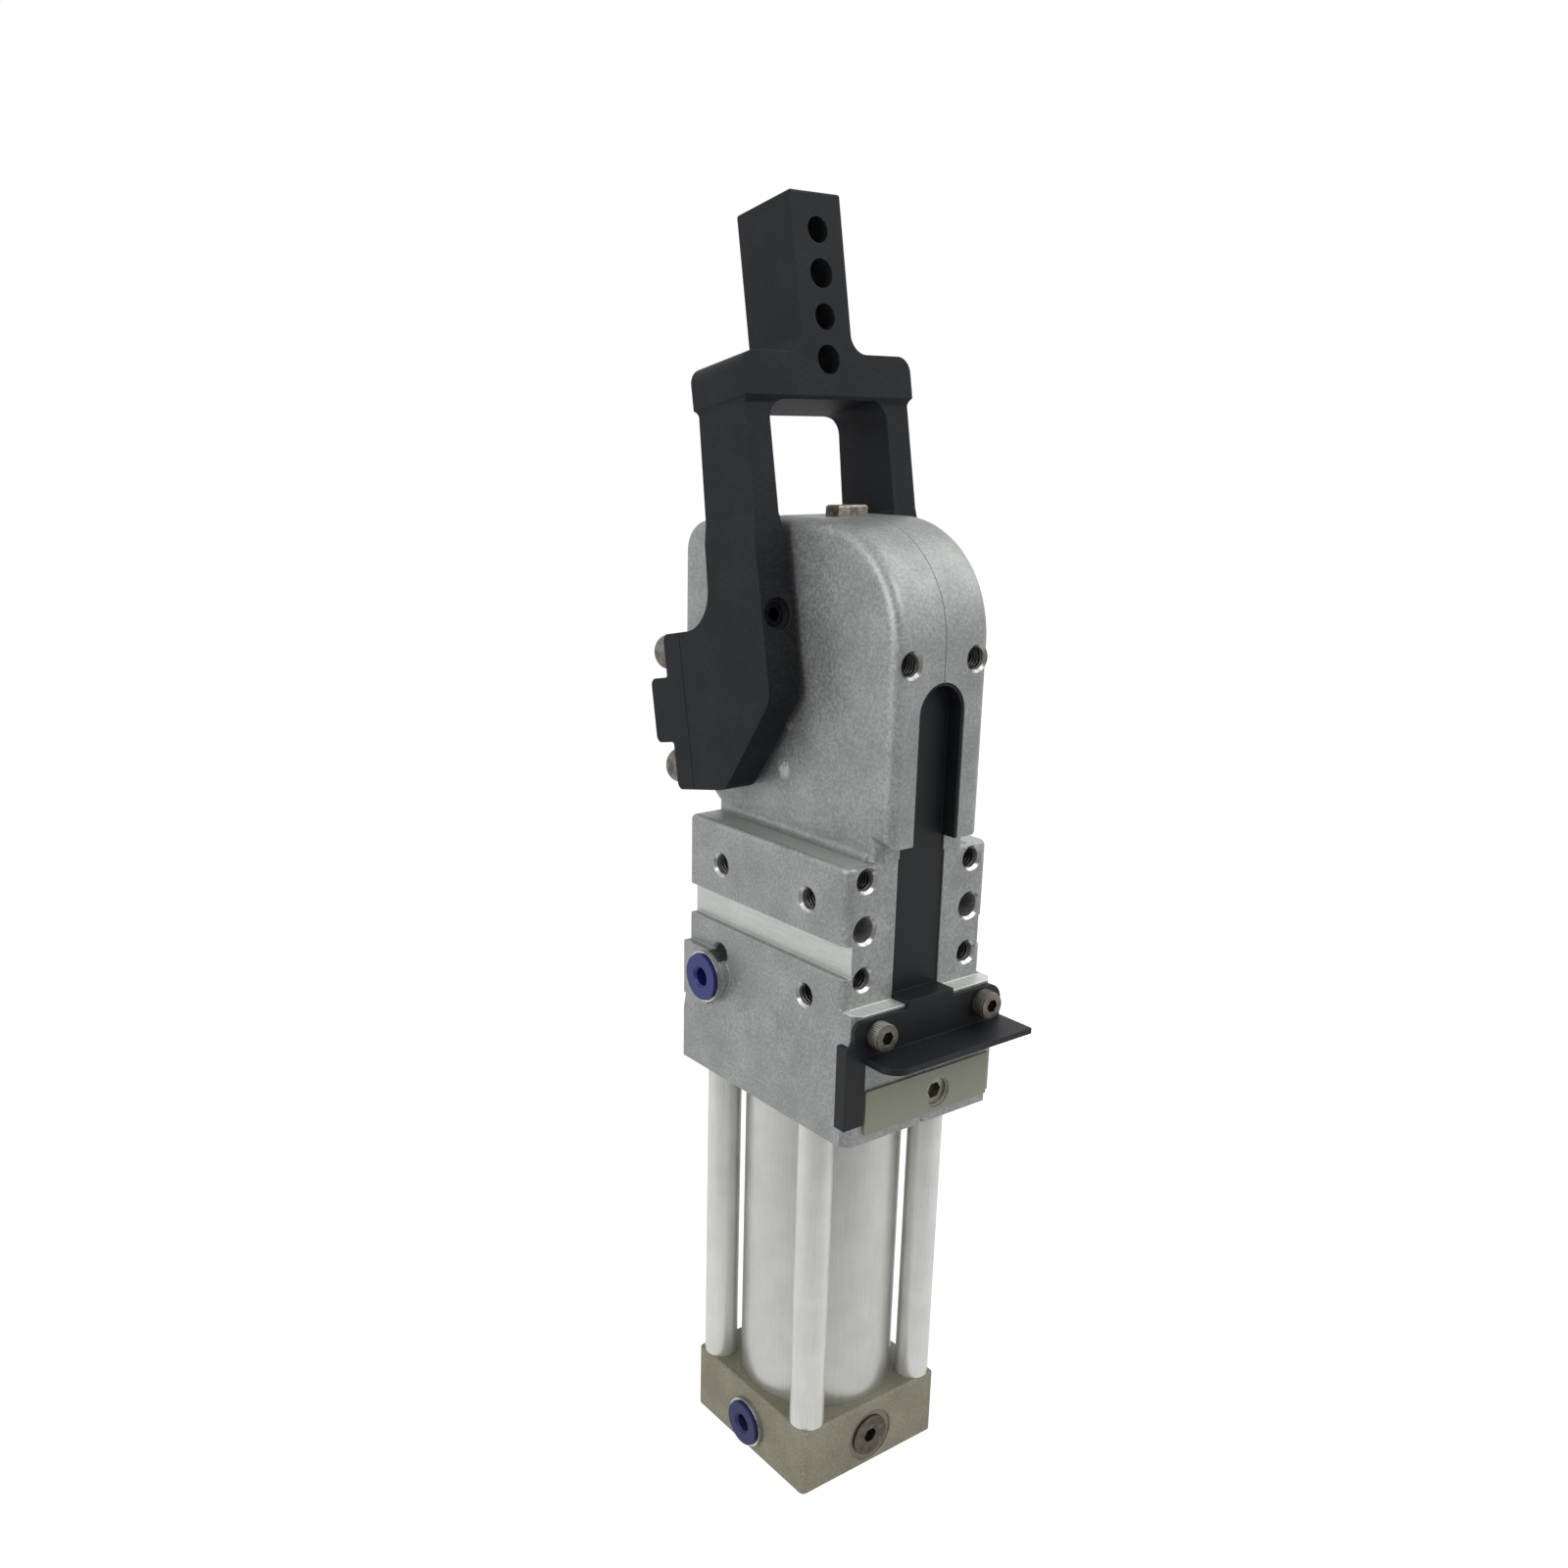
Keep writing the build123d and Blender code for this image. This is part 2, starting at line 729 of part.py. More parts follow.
def screw_seat(up):
    """Distance of the seat below a body screw's head from the seam."""
    side = head_half_width if up > block_top else block_half_width
    return side - body_screw_sink


def body_left(casting):
    """Left half with the front port pad and the channel from its port to the rod guide."""
    reach = lower_half_width + head_front
    half = casting & block(-reach, 0, -reach, reach, base, head_top + reach)
    y = front_port_across
    z = base + front_port_rise
    foot = block_half_width - countersink
    pad = block(-lower_half_width, -foot, y, body_back, base + port_pad_bottom, base + port_pad_top)
    pad += round_x(y, z, -lower_half_width, -foot, front_ring_diameter / 2)
    hole_half = side_hole_diameter / 2
    pad -= round_x(side_hole_across / 2, side_hole_low, -lower_half_width, -foot, hole_half)
    half += pad
    port_end = lower_half_width - port_depth
    half -= round_x(y, z, -lower_half_width, -port_end, front_port_thread / 2)
    ring_floor = guide_flange_diameter / 2 - channel_diameter / 2
    start = hypot(port_end, y) + channel_diameter / 2
    channel = round_x(0, z, -start, -ring_floor, channel_diameter / 2)
    return half - Rot(0, 0, -degrees(atan2(y, port_end))) * channel


def body_right(casting):
    """Right half with the relieved lower corner."""
    reach = lower_half_width + head_front
    half = casting & block(0, reach, -reach, reach, base, head_top + reach)
    relief = base + corner_relief_rise
    half -= block(corner_relief_across, reach, -reach, -corner_relief_front, base, relief)
    return half


def body_screws():
    """Screws from the right that draw the two halves together."""
    screws = []
    for across, up in body_screw_places:
        seat = screw_seat(up)
        screw = socket_screw(
            body_screw_diameter,
            seat + body_screw_reach - proud_gap,
            body_screw_head,
            body_screw_head_height,
            body_screw_socket,
            plug_socket_depth,
        )
        screws.append(Pos(seat, across, up) * Rot(0, 90, 0) * screw)
    return screws


def body_dowels():
    """Dowels that line up the two halves."""
    radius = body_dowel_diameter / 2
    pins = []
    for across, up in body_dowel_places:
        pins.append(round_x(across, up, -body_dowel_reach, body_dowel_reach, radius))
    return pins


# Slot cover, nameplate and switch cassette
def slot_cover():
    """Strip in the slot, step over the ledge, crossbar, flange and corner leg in one piece."""
    strip_back = -strip_face + strip_thickness
    bar_face = -lower_front - bar_plate
    low = base + bar_low_rise
    half = slot_width / 2 - cover_gap
    head_half = head_slot_width / 2 - cover_gap
    strip = block(-half, half, -strip_face, strip_back, ledge, block_top)
    strip += arched_strip(head_half, -strip_face, strip_back, block_top)
    lip_front = lip_inset - head_front
    lip = arched_strip(head_half, lip_front, -strip_face, head_front_low)
    strip += lip - arched_strip(head_half - lip_thickness, lip_front, -strip_face, head_front_low)
    step = block(-half, half, bar_face, strip_back, ledge, ledge + strip_thickness)
    step += block(-half, half, bar_face, -lower_front, low, ledge + strip_thickness)
    wide = bar_half_width
    corners = [(-wide, low, 0), (wide, low, 0), (wide, base + bar_rise, bar_corner_right)]
    corners.append((-wide, base + bar_rise, bar_corner_left))
    bar = along_y(outline(corners), bar_face, -lower_front)
    front = -lower_front - flange_reach
    flange = block(-flange_left, lower_half_width, front, -lower_front, low, low + flange_thickness)
    front_left = flange.edges().filter_by(Axis.Z).sort_by_distance((-flange_left, front, low))[0]
    flange = fillet(front_left, flange_corner)
    outer = lower_half_width + leg_wall
    leg_top = base + leg_top_rise
    leg = block(-outer, leg_width - outer, bar_face, -lower_front, base + leg_low_rise, leg_top)
    side = block(-outer, -lower_half_width, bar_face, leg_return - lower_front, base + leg_low_rise, leg_top)
    cover = strip + step + bar + flange + leg + side
    for x in (-cover_screw_across / 2, cover_screw_across / 2):
        z = base + cover_screw_rise
        cover -= round_y(x, z, bar_face, -lower_front, cover_screw_diameter / 2 + screw_clearance)
    return cover


def arched_strip(half, y_low, y_high, low):
    """Upright strip that ends round in the arch of the slot."""
    arch = slot_top - head_slot_width / 2
    return block(-half, half, y_low, y_high, low, arch) + round_y(0, arch, y_low, y_high, half)


def cover_screws():
    """Two socket screws that hold the slot cover."""
    screw = socket_screw(
        cover_screw_diameter,
        cover_screw_grip,
        cover_screw_head,
        cover_screw_head_height,
        cover_screw_socket,
        plug_socket_depth,
    )
    y = -lower_front - bar_plate
    screws = []
    for x in (-cover_screw_across / 2, cover_screw_across / 2):
        screws.append(Pos(x, y, base + cover_screw_rise) * Rot(90, 0, 0) * screw)
    return screws


def switch_cassette():
    """Switch housing in the pocket behind the slot cover."""
    back = -strip_face + strip_thickness
    half = cassette_width / 2
    top = slot_top - head_slot_width
    return block(-half, half, back, back + cassette_depth, base + cassette_low_rise, top)


def nameplate():
    """Bare nameplate with a hole round the plug."""
    low = base + nameplate_low_rise
    plate = block(
        -nameplate_left,
        nameplate_right,
        -lower_front - nameplate_thickness,
        -lower_front,
        low,
        low + nameplate_height,
    )
    z = base + nameplate_plug_rise
    face = -lower_front - nameplate_thickness
    return plate - round_y(nameplate_plug_across, z, face, -lower_front, nameplate_plug_ring / 2)


def nameplate_plug():
    """Hexagon socket plug beside the seam."""
    z = base + nameplate_plug_rise
    face = nameplate_plug_sink - lower_front
    x = nameplate_plug_across
    plug = round_y(x, z, face, nameplate_plug_depth - lower_front, nameplate_plug_diameter / 2)
    socket = Pos(x, face, z) * Rot(-90, 0, 0) * hex_prism(plug_socket, plug_socket_depth)
    return plug - socket


# Release button
def release_button():
    """Button head with its stem towards the knuckle."""
    y = button_across
    low = head_top - button_flange + button_travel
    head = block(
        -button_left,
        button_right,
        y - button_half_depth,
        y + button_half_depth,
        low,
        head_top + button_proud,
    )
    head = chamfer(head.faces().sort_by(Axis.Z)[-1].edges(), cover_edge)
    tip = clamped_z + knuckle_half_depth + stem_above_knuckle
    return head + round_z(0, y, tip, low, button_stem / 2)


def release_spring():
    """Coil spring that lifts the button."""
    low = head_top - button_flange - spring_bore_depth + spring_wire / 2
    high = head_top - button_flange + button_travel - spring_wire / 2
    height = high - low
    path = Helix(height / spring_turns, height, spring_diameter / 2)
    section = Plane(path @ 0, z_dir=path % 0) * Circle(spring_wire / 2)
    return Pos(0, button_across, low) * sweep(section, path)


# Shaft and toggle
def shaft_bushes():
    """Bushes on both sides of the lever."""
    inner = lever_half_width + side_play
    bush = round_x(shaft_across, shaft_z, inner, head_half_width, bush_outer / 2)
    bush -= round_x(shaft_across, shaft_z, inner, head_half_width, shaft_diameter / 2 + running_fit)
    return [bush, mirror(bush, Plane.YZ)]


def thrust_washers():
    """Washers between the head sides and the arm legs."""
    end = head_half_width + washer_thickness
    washer = round_x(shaft_across, shaft_z, head_half_width, end, washer_outer / 2)
    washer -= round_x(shaft_across, shaft_z, head_half_width, end, shaft_diameter / 2 + side_play)
    return [washer, mirror(washer, Plane.YZ)]


def output_shaft():
    """Shaft with square ends and a keyway, set at the arm's tilt."""
    shaft = round_x(0, 0, -shaft_reach, shaft_reach, shaft_diameter / 2)
    half = shaft_square / 2
    for x_low, x_high in ((-shaft_reach, -shaft_round_reach), (shaft_round_reach, shaft_reach)):
        wide = shaft_diameter
        end = block(x_low, x_high, -wide, wide, -wide, wide)
        shaft -= end - block(x_low, x_high, -half, half, -half, half)
    shaft -= key_shape(0)
    return at_shaft(shaft)


def key_shape(play):
    """Key across the shaft surface and the lever bore."""
    half = key_side / 2 + play
    middle = shaft_diameter / 2
    long = key_length / 2
    return block(-long, long, -half, half, middle - half, middle + half)


def at_shaft(shape):
    """Place an upright arm shape at the shaft with the arm's tilt."""
    return Pos(0, shaft_across, shaft_z) * Rot(-arm_tilt, 0, 0) * shape


def bar_outline(length, first_radius, second_radius):
    """Flat bar with two round ends, the first centred at the origin."""
    ends = Circle(first_radius) + Pos(length, 0) * Circle(second_radius)
    return make_hull(ends.edges())


def toggle_lever():
    """Forked lever keyed to the shaft."""
    face = bar_outline(lever_length, lever_hub_radius, lever_eye_radius)
    lever = along_x(face, -lever_half_width, lever_half_width)
    gap = link_half_width + side_play
    beyond = lever_length + lever_hub_radius
    wide = lever_hub_radius
    lever -= block(-gap, gap, lever_web_reach, beyond, -wide, wide)
    lever -= round_x(lever_length, 0, -lever_half_width, lever_half_width, lever_pin_diameter / 2)
    lever = Rot(rest_angle + arm_tilt, 0, 0) * lever
    lever -= round_x(0, 0, -lever_half_width, lever_half_width, shaft_diameter / 2)
    lever -= key_shape(0)
    return at_shaft(lever)


def lever_pin():
    """Pin through the lever fork and the link."""
    return round_x(pin_y, pin_z, -lever_half_width, lever_half_width, lever_pin_diameter / 2)


def toggle_link():
    """Link from the lever pin to the knuckle."""
    half = link_half_width
    face = bar_outline(link_length, link_eye_radius, link_eye_radius)
    link = along_x(face, -half, half)
    for place in (0, link_length):
        link -= round_x(place, 0, -half, half, lever_pin_diameter / 2 + running_fit)
    direction = Vector(0, -pin_y, knuckle_z - pin_z)
    turn = -Vector(0, 1, 0).get_angle(direction)
    return Pos(0, pin_y, pin_z) * Rot(turn, 0, 0) * link


def knuckle():
    """Fork head on the piston rod, with a round top."""
    wide = knuckle_half_width
    deep = knuckle_half_depth
    low = knuckle_z - knuckle_below_pin
    body = block(-wide, wide, -deep, deep, low, knuckle_z)
    body += round_x(0, knuckle_z, -wide, wide, deep)
    gap = link_half_width + side_play
    body -= block(-gap, gap, -deep, deep, knuckle_z - fork_floor_below_pin, knuckle_z + deep)
    body -= round_x(0, knuckle_z, -wide, wide, guide_pin_diameter / 2)
    body -= round_z(0, 0, low, low + rod_end_length, rod_end_diameter / 2)
    return body


def guide_pins():
    """Short pins from the knuckle cheeks into the guide shoes."""
    start = link_half_width + proud_gap
    end = lever_half_width + side_play + shoe_thickness
    pin = round_x(0, knuckle_z, start, end, guide_pin_diameter / 2)
    return [pin, mirror(pin, Plane.YZ)]


def guide_shoes():
    """Sliding shoes in the body's guide grooves."""
    start = lever_half_width + side_play + shoe_play
    end = start + shoe_thickness
    half = shoe_side / 2
    shoe = block(start, end, -half, half, knuckle_z - half, knuckle_z + half)
    shoe -= round_x(0, knuckle_z, start, end, guide_pin_diameter / 2)
    return [shoe, mirror(shoe, Plane.YZ)]


# Piston and rod
def piston_rod():
    """Rod from the knuckle to the nut below the piston."""
    shoulder = knuckle_z - knuckle_below_pin
    rod = round_z(0, 0, piston_top, shoulder, rod_diameter / 2)
    rod += round_z(0, 0, shoulder, shoulder + rod_end_length, rod_end_diameter / 2)
    low = piston_top - piston_height + proud_gap
    return rod + round_z(0, 0, low, piston_top, piston_spigot / 2)


def piston():
    """Piston disc with its ring grooves and the nut recess."""
    low = piston_top - piston_height
    body = ring_z(low, piston_top, piston_spigot / 2, bore_diameter / 2 - piston_play)
    floor = bore_diameter / 2 - seal_depth
    for groove_low, height in piston_grooves():
        body -= ring_z(groove_low, groove_low + height, floor, bore_diameter)
    recess = piston_nut_across / 2 + piston_nut_room
    return body - round_z(0, 0, low, low + piston_nut_recess, recess)


def piston_grooves():
    """Lower face and height of each piston groove: seal, wear ring, seal."""
    low = piston_top - piston_height
    middle = piston_top - (piston_height + wear_ring_height) / 2
    return [
        (low + piston_ring_inset, piston_seal_height),
        (middle, wear_ring_height),
        (piston_top - piston_ring_inset - piston_seal_height, piston_seal_height),
    ]


def piston_ring(place):
    """Ring in one of the piston grooves."""
    low, height = piston_grooves()[place]
    return ring_z(low, low + height, bore_diameter / 2 - seal_depth, bore_diameter / 2 - running_fit)


def piston_nut():
    """Nut on the rod below the piston."""
    low = piston_top - piston_height + piston_nut_recess - piston_nut_height
    nut = Pos(0, 0, low) * hex_prism(piston_nut_across, piston_nut_height)
    return nut - round_z(0, 0, low, low + piston_nut_height, piston_spigot / 2)


def guide_bush_top():
    """Height of the rod bush top."""
    return base + guide_bush_length - spigot_length / 2


def rod_guide():
    """Turned insert that closes the tube and guides the rod."""
    spigot_radius = bore_diameter / 2 - close_fit
    top = base + guide_flange_rise
    body = round_z(0, 0, base - spigot_length, base, spigot_radius)
    body += round_z(0, 0, base, top, guide_flange_diameter / 2)
    body -= round_z(0, 0, base - spigot_length, top, rod_diameter / 2 + side_play)
    body -= round_z(0, 0, guide_bush_top() - guide_bush_length, guide_bush_top(), guide_bush_outer / 2)
    seal_low = guide_bush_top() + rod_seal_height
    body -= round_z(0, 0, seal_low, seal_low + rod_seal_height, rod_seal_outer / 2)
    body -= round_z(0, 0, top - wiper_height, top, wiper_outer / 2)
    groove_low = base - 2 * tube_seal_height
    groove_floor = spigot_radius - tube_seal_depth
    body -= ring_z(groove_low, groove_low + tube_seal_height, groove_floor, bore_diameter / 2)
    bumper_low = base - spigot_length
    bumper_high = bumper_low - bumper_proud + bumper_height
    body -= ring_z(bumper_low, bumper_high, bumper_inner / 2, bumper_outer / 2)
    port_z = base + front_port_rise
    half = channel_diameter / 2
    ring_floor = guide_flange_diameter / 2 - channel_diameter / 2
    body -= ring_z(port_z - half, port_z + half, ring_floor, guide_flange_diameter)
    drop_radius = (bumper_inner + bumper_outer + channel_diameter / 2) / 4
    body -= round_y(0, port_z, drop_radius, guide_flange_diameter / 2, half / 2)
    return body - round_z(0, drop_radius, base - spigot_length, port_z, half / 2)


def rod_bush():
    """Plain bearing of the rod."""
    low = guide_bush_top() - guide_bush_length
    return ring_z(low, guide_bush_top(), rod_diameter / 2 + running_fit, guide_bush_outer / 2)


def rod_seal():
    """Seal round the rod."""
    low = guide_bush_top() + rod_seal_height
    return ring_z(low, low + rod_seal_height, rod_diameter / 2 + running_fit, rod_seal_outer / 2)


def wiper_ring():
    """Wiper at the top of the rod guide."""
    top = base + guide_flange_rise
    return ring_z(top - wiper_height, top, rod_diameter / 2 + running_fit, wiper_outer / 2)


# Clamp arm
def arm_front_outline():
    """Arm seen along its thickness: bar, shoulders and two legs."""
    wide = arm_half_width
    neck_inner = arm_neck_half_width - arm_neck_thickness
    neck_start = arm_neck_low + arm_neck_slant
    low = -arm_hub_bottom
    right = [
        (neck_inner, arm_opening, arm_inner_rounding),
        (neck_inner, neck_start, 0),
        (hub_inner, arm_neck_low, 0),
        (hub_inner, low, 0),
        (wide, low, 0),
        (wide, arm_neck_low, 0),
        (arm_neck_half_width, neck_start, 0),
        (arm_neck_half_width, arm_opening, 0),
        (wide, arm_opening + arm_cross_step, 0),
        (wide, arm_shoulder, arm_outer_rounding),
        (arm_bar_half_width, arm_shoulder, arm_bar_rounding),
        (arm_bar_half_width, arm_reach, arm_edge),
    ]
    left = [(-across, up, rounding) for across, up, rounding in reversed(right)]
    return outline(right + left)


def arm_side_outline():
    """Arm seen along the shaft: bar, leg and the half hub above the split."""
    slant_low = arm_opening - arm_cross_step
    slant_high = arm_opening + arm_cross_step
    corners = [
        (-arm_bar_front, arm_reach, arm_edge),
        (-arm_bar_back, arm_reach, arm_edge),
        (-arm_bar_back, slant_high, 0),
        (-arm_leg_back_high, slant_low, 0),
        (-arm_leg_back_low, arm_hub_top, arm_leg_rounding),
        (-cap_split / 2, arm_hub_top, 0),
        (-cap_split / 2, -arm_hub_bottom, 0),
        (arm_hub_slant - arm_leg_front, -arm_hub_bottom, arm_hub_rounding),
        (-arm_leg_front, arm_hub_slant - arm_hub_bottom, arm_hub_rounding),
        (-arm_leg_front, slant_low, 0),
        (-arm_bar_front, slant_high, 0),
    ]
    return outline(corners)


def square_socket():
    """Square room for one shaft end, closed by the outer wall."""
    half = shaft_square / 2 + close_fit
    end = arm_half_width - arm_outer_wall + close_fit
    return mirrored_x(block(hub_inner, end, -half, half, -half, half))


def clamp_arm():
    """Forked arm casting, upright, then set at its tilt."""
    wide = arm_half_width
    arm = along_y(arm_front_outline(), -arm_bar_front, 0) & along_x(arm_side_outline(), -wide, wide)
    arm -= square_socket()
    for step in range(4):
        diameter = arm_dowel_diameter if step % 2 == 0 else arm_bolt_diameter
        up = arm_reach - arm_hole_inset - step * arm_hole_pitch
        arm -= round_y(0, up, -arm_bar_front, -arm_bar_back, diameter / 2)
    for x in (-cap_screw_x, cap_screw_x):
        for up in (-cap_screw_up, cap_screw_up):
            depth = cap_screw_grip + proud_gap - cap_ear
            arm -= round_y(x, up, -depth, 0, cap_screw_diameter / 2)
    for x in (-set_screw_across, set_screw_across):
        face = -arm_leg_front
        hole_end = face + set_screw_recess_depth + set_screw_length
        arm -= round_y(x, set_screw_up, face, hole_end, set_screw_diameter / 2)
        recess_end = face + set_screw_recess_depth
        arm -= round_y(x, set_screw_up, face, recess_end, set_screw_recess / 2)
    return at_shaft(arm)


def arm_cap(side):
    """Cap on one side of the fork; side is -1 for left and 1 for right."""
    corners = [
        (cap_split / 2, arm_hub_top, 0),
        (cap_ear, arm_hub_top, cap_corner),
        (cap_ear, cap_middle_half, arm_edge),
        (cap_middle, cap_middle_half, cap_corner),
        (cap_middle, -cap_middle_half, cap_corner),
        (cap_ear, -cap_middle_half, arm_edge),
        (cap_ear, -arm_hub_bottom, cap_corner),
        (cap_split / 2, -arm_hub_bottom, 0),
    ]
    ends = sorted((side * hub_inner, side * arm_half_width))
    cap = along_x(outline(corners), ends[0], ends[1]) - square_socket()
    for up in (-cap_screw_up, cap_screw_up):
        radius = cap_screw_diameter / 2 + screw_clearance
        cap -= round_y(side * cap_screw_x, up, 0, cap_ear, radius)
    return at_shaft(cap)


def arm_cap_screws():
    """Two domed socket screws in each cap."""
    screw = socket_screw(
        cap_screw_diameter,
        cap_screw_grip,
        cap_screw_head,
        cap_screw_head_height,
        cap_screw_socket,
        cap_screw_socket_depth,
    )
    rims = screw.edges().filter_by(GeomType.CIRCLE).sort_by(Axis.Z)
    screw = fillet(rims[-1], cap_screw_dome)
    screws = []
    for x in (-cap_screw_x, cap_screw_x):
        for up in (-cap_screw_up, cap_screw_up):
            screws.append(at_shaft(Pos(x, cap_ear, up) * Rot(-90, 0, 0) * screw))
    return screws


def arm_set_screws():
    """One set screw in the slot side of each leg."""
    start = set_screw_recess_depth - arm_leg_front
    screws = []
    for x in (-set_screw_across, set_screw_across):
        screw = round_y(x, set_screw_up, start, start + set_screw_length, set_screw_diameter / 2)
        place = Pos(x, start, set_screw_up) * Rot(-90, 0, 0)
        screws.append(at_shaft(screw - place * hex_prism(set_screw_socket, plug_socket_depth)))
    return screws


# Build and export every node
def main():
    """Build all nodes and write them."""
    os.makedirs("parts", exist_ok=True)
    casting = body_casting()
    front_place = Pos(-lower_half_width, front_port_across, base + front_port_rise)
    rear_place = Pos(-cover_side / 2, 0, cover_port_height)
    front_fitting = port_fitting(front_port_thread, front_ring_diameter, front_collar_diameter)
    rear_fitting = port_fitting(port_thread, rear_ring_diameter, rear_collar_diameter)
    nodes = {
        "rear_cover": rear_cover(),
        "cylinder_tube": cylinder_tube(),
        "tie_rods": tie_rods(),
        "tie_rod_screws": tie_rod_screws(),
        "tube_seals": tube_seals(),
        "end_bumpers": end_bumpers(),
        "body_left": body_left(casting),
        "body_right": body_right(casting),
        "body_screws": body_screws(),
        "body_dowels": body_dowels(),
        "rod_guide": rod_guide(),
        "rod_bush": rod_bush(),
        "rod_seal": rod_seal(),
        "wiper_ring": wiper_ring(),
        "shaft_bushes": shaft_bushes(),
        "thrust_washers": thrust_washers(),
        "switch_cassette": switch_cassette(),
        "slot_cover": slot_cover(),
        "cover_screws": cover_screws(),
        "nameplate": nameplate(),
        "nameplate_plug": nameplate_plug(),
        "front_port_fitting": front_place * front_fitting,
        "front_port_collar": front_place * port_collar(front_collar_diameter),
        "rear_port_fitting": rear_place * rear_fitting,
        "rear_port_collar": rear_place * port_collar(rear_collar_diameter),
        "rear_port_plug": port_plug(),
        "release_button": release_button(),
        "release_spring": release_spring(),
        "output_shaft": output_shaft(),
        "shaft_key": at_shaft(key_shape(0)),
        "toggle_lever": toggle_lever(),
        "lever_pin": lever_pin(),
        "toggle_link": toggle_link(),
        "knuckle": knuckle(),
        "guide_pins": guide_pins(),
        "guide_shoes": guide_shoes(),
        "piston_rod": piston_rod(),
        "piston": piston(),
        "piston_seals": [piston_ring(0), piston_ring(2)],
        "wear_ring": piston_ring(1),
        "piston_nut": piston_nut(),
        "clamp_arm": clamp_arm(),
        "arm_cap_left": arm_cap(-1),
        "arm_cap_right": arm_cap(1),
        "arm_cap_screws": arm_cap_screws(),
        "arm_set_screws": arm_set_screws(),
    }
    for name, shape in nodes.items():
        export(shape, name)


main()
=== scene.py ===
"""Dresses the pneumatic clamp cylinder: finishes, threads, rims, knurls, seam, studio and camera."""

from __future__ import annotations

import json
import logging
import math
from collections.abc import Sequence
from dataclasses import dataclass
from enum import Enum

import bmesh
import bpy
from mathutils import Euler, Matrix, Vector

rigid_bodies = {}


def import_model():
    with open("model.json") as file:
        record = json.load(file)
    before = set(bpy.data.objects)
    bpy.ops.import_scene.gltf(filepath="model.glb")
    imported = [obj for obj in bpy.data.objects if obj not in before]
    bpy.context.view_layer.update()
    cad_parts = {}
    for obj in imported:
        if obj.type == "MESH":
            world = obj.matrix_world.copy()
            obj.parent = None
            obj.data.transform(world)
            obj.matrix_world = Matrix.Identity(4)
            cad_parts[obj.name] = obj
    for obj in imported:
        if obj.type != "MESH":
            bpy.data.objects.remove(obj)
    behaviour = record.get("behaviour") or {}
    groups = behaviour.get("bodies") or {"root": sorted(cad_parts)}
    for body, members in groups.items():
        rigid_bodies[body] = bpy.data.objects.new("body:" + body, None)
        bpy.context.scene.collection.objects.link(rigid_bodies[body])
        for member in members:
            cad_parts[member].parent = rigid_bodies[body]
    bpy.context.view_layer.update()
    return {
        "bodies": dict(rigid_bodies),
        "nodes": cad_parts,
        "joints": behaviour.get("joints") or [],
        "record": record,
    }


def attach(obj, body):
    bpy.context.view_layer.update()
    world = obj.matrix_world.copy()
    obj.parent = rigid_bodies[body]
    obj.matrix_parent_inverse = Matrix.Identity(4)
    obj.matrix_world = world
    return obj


LOG = logging.getLogger("clamp_cylinder")
MM = 0.001
Colour = tuple[float, float, float]
Place = tuple[float, float, float]


def linear(red: int, green: int, blue: int) -> Colour:
    """Turns an 8-bit display colour into scene-linear values.

    Args:
        red: Red, 0 to 255.
        green: Green, 0 to 255.
        blue: Blue, 0 to 255.

    Returns:
        The same colour in linear light.
    """

    def channel(value: int) -> float:
        """Decodes one channel."""
        part = value / 255
        return part / 12.92 if part <= 0.04045 else ((part + 0.055) / 1.055) ** 2.4

    return channel(red), channel(green), channel(blue)


class Wire:
    """A shader socket that takes part in arithmetic."""

    def __init__(self, graph: "ShaderGraph", socket: bpy.types.NodeSocket) -> None:
        """Keeps the graph and the socket."""
        self.graph = graph
        self.socket = socket

    def __add__(self, other: "Wire | float") -> "Wire":
        """Adds a wire or a number."""
        return self.graph.maths("ADD", self, other)

    def __radd__(self, other: float) -> "Wire":
        """Adds the wire to a number."""
        return self.graph.maths("ADD", other, self)

    def __sub__(self, other: "Wire | float") -> "Wire":
        """Subtracts a wire or a number."""
        return self.graph.maths("SUBTRACT", self, other)

    def __rsub__(self, other: float) -> "Wire":
        """Subtracts the wire from a number."""
        return self.graph.maths("SUBTRACT", other, self)

    def __mul__(self, other: "Wire | float") -> "Wire":
        """Multiplies by a wire or a number."""
        return self.graph.maths("MULTIPLY", self, other)

    def __rmul__(self, other: float) -> "Wire":
        """Multiplies a number by the wire."""
        return self.graph.maths("MULTIPLY", other, self)

    def __truediv__(self, other: "Wire | float") -> "Wire":
        """Divides by a wire or a number."""
        return self.graph.maths("DIVIDE", self, other)

    def size(self) -> "Wire":
        """Takes away the sign."""
        return self.graph.maths("ABSOLUTE", self, 0.0)

    def below(self, limit: float, soft: float) -> "Wire":
        """Gives 1 below a limit and 0 above it, with a soft step.

        Args:
            limit: The middle of the step.
            soft: The width of the step.

        Returns:
            The mask.
        """
        step = {"From Min": limit - soft / 2, "From Max": limit + soft / 2, "To Min": 1.0, "To Max": 0.0}
        node = self.graph.node(
            "ShaderNodeMapRange", {"interpolation_type": "SMOOTHSTEP"}, {"Value": self, **step}
        )
        return Wire(self.graph, node.outputs["Result"])

    def within(self, low: float, high: float, soft: float = 0.1 * MM) -> "Wire":
        """Gives 1 between two limits and 0 outside them."""
        return self.below(high, soft) - self.below(low, soft)

    def most(self, other: "Wire | float") -> "Wire":
        """Gives the larger of the wire and another value."""
        return self.graph.maths("MAXIMUM", self, other)

    def least(self, other: "Wire | float") -> "Wire":
        """Gives the smaller of the wire and another value."""
        return self.graph.maths("MINIMUM", self, other)


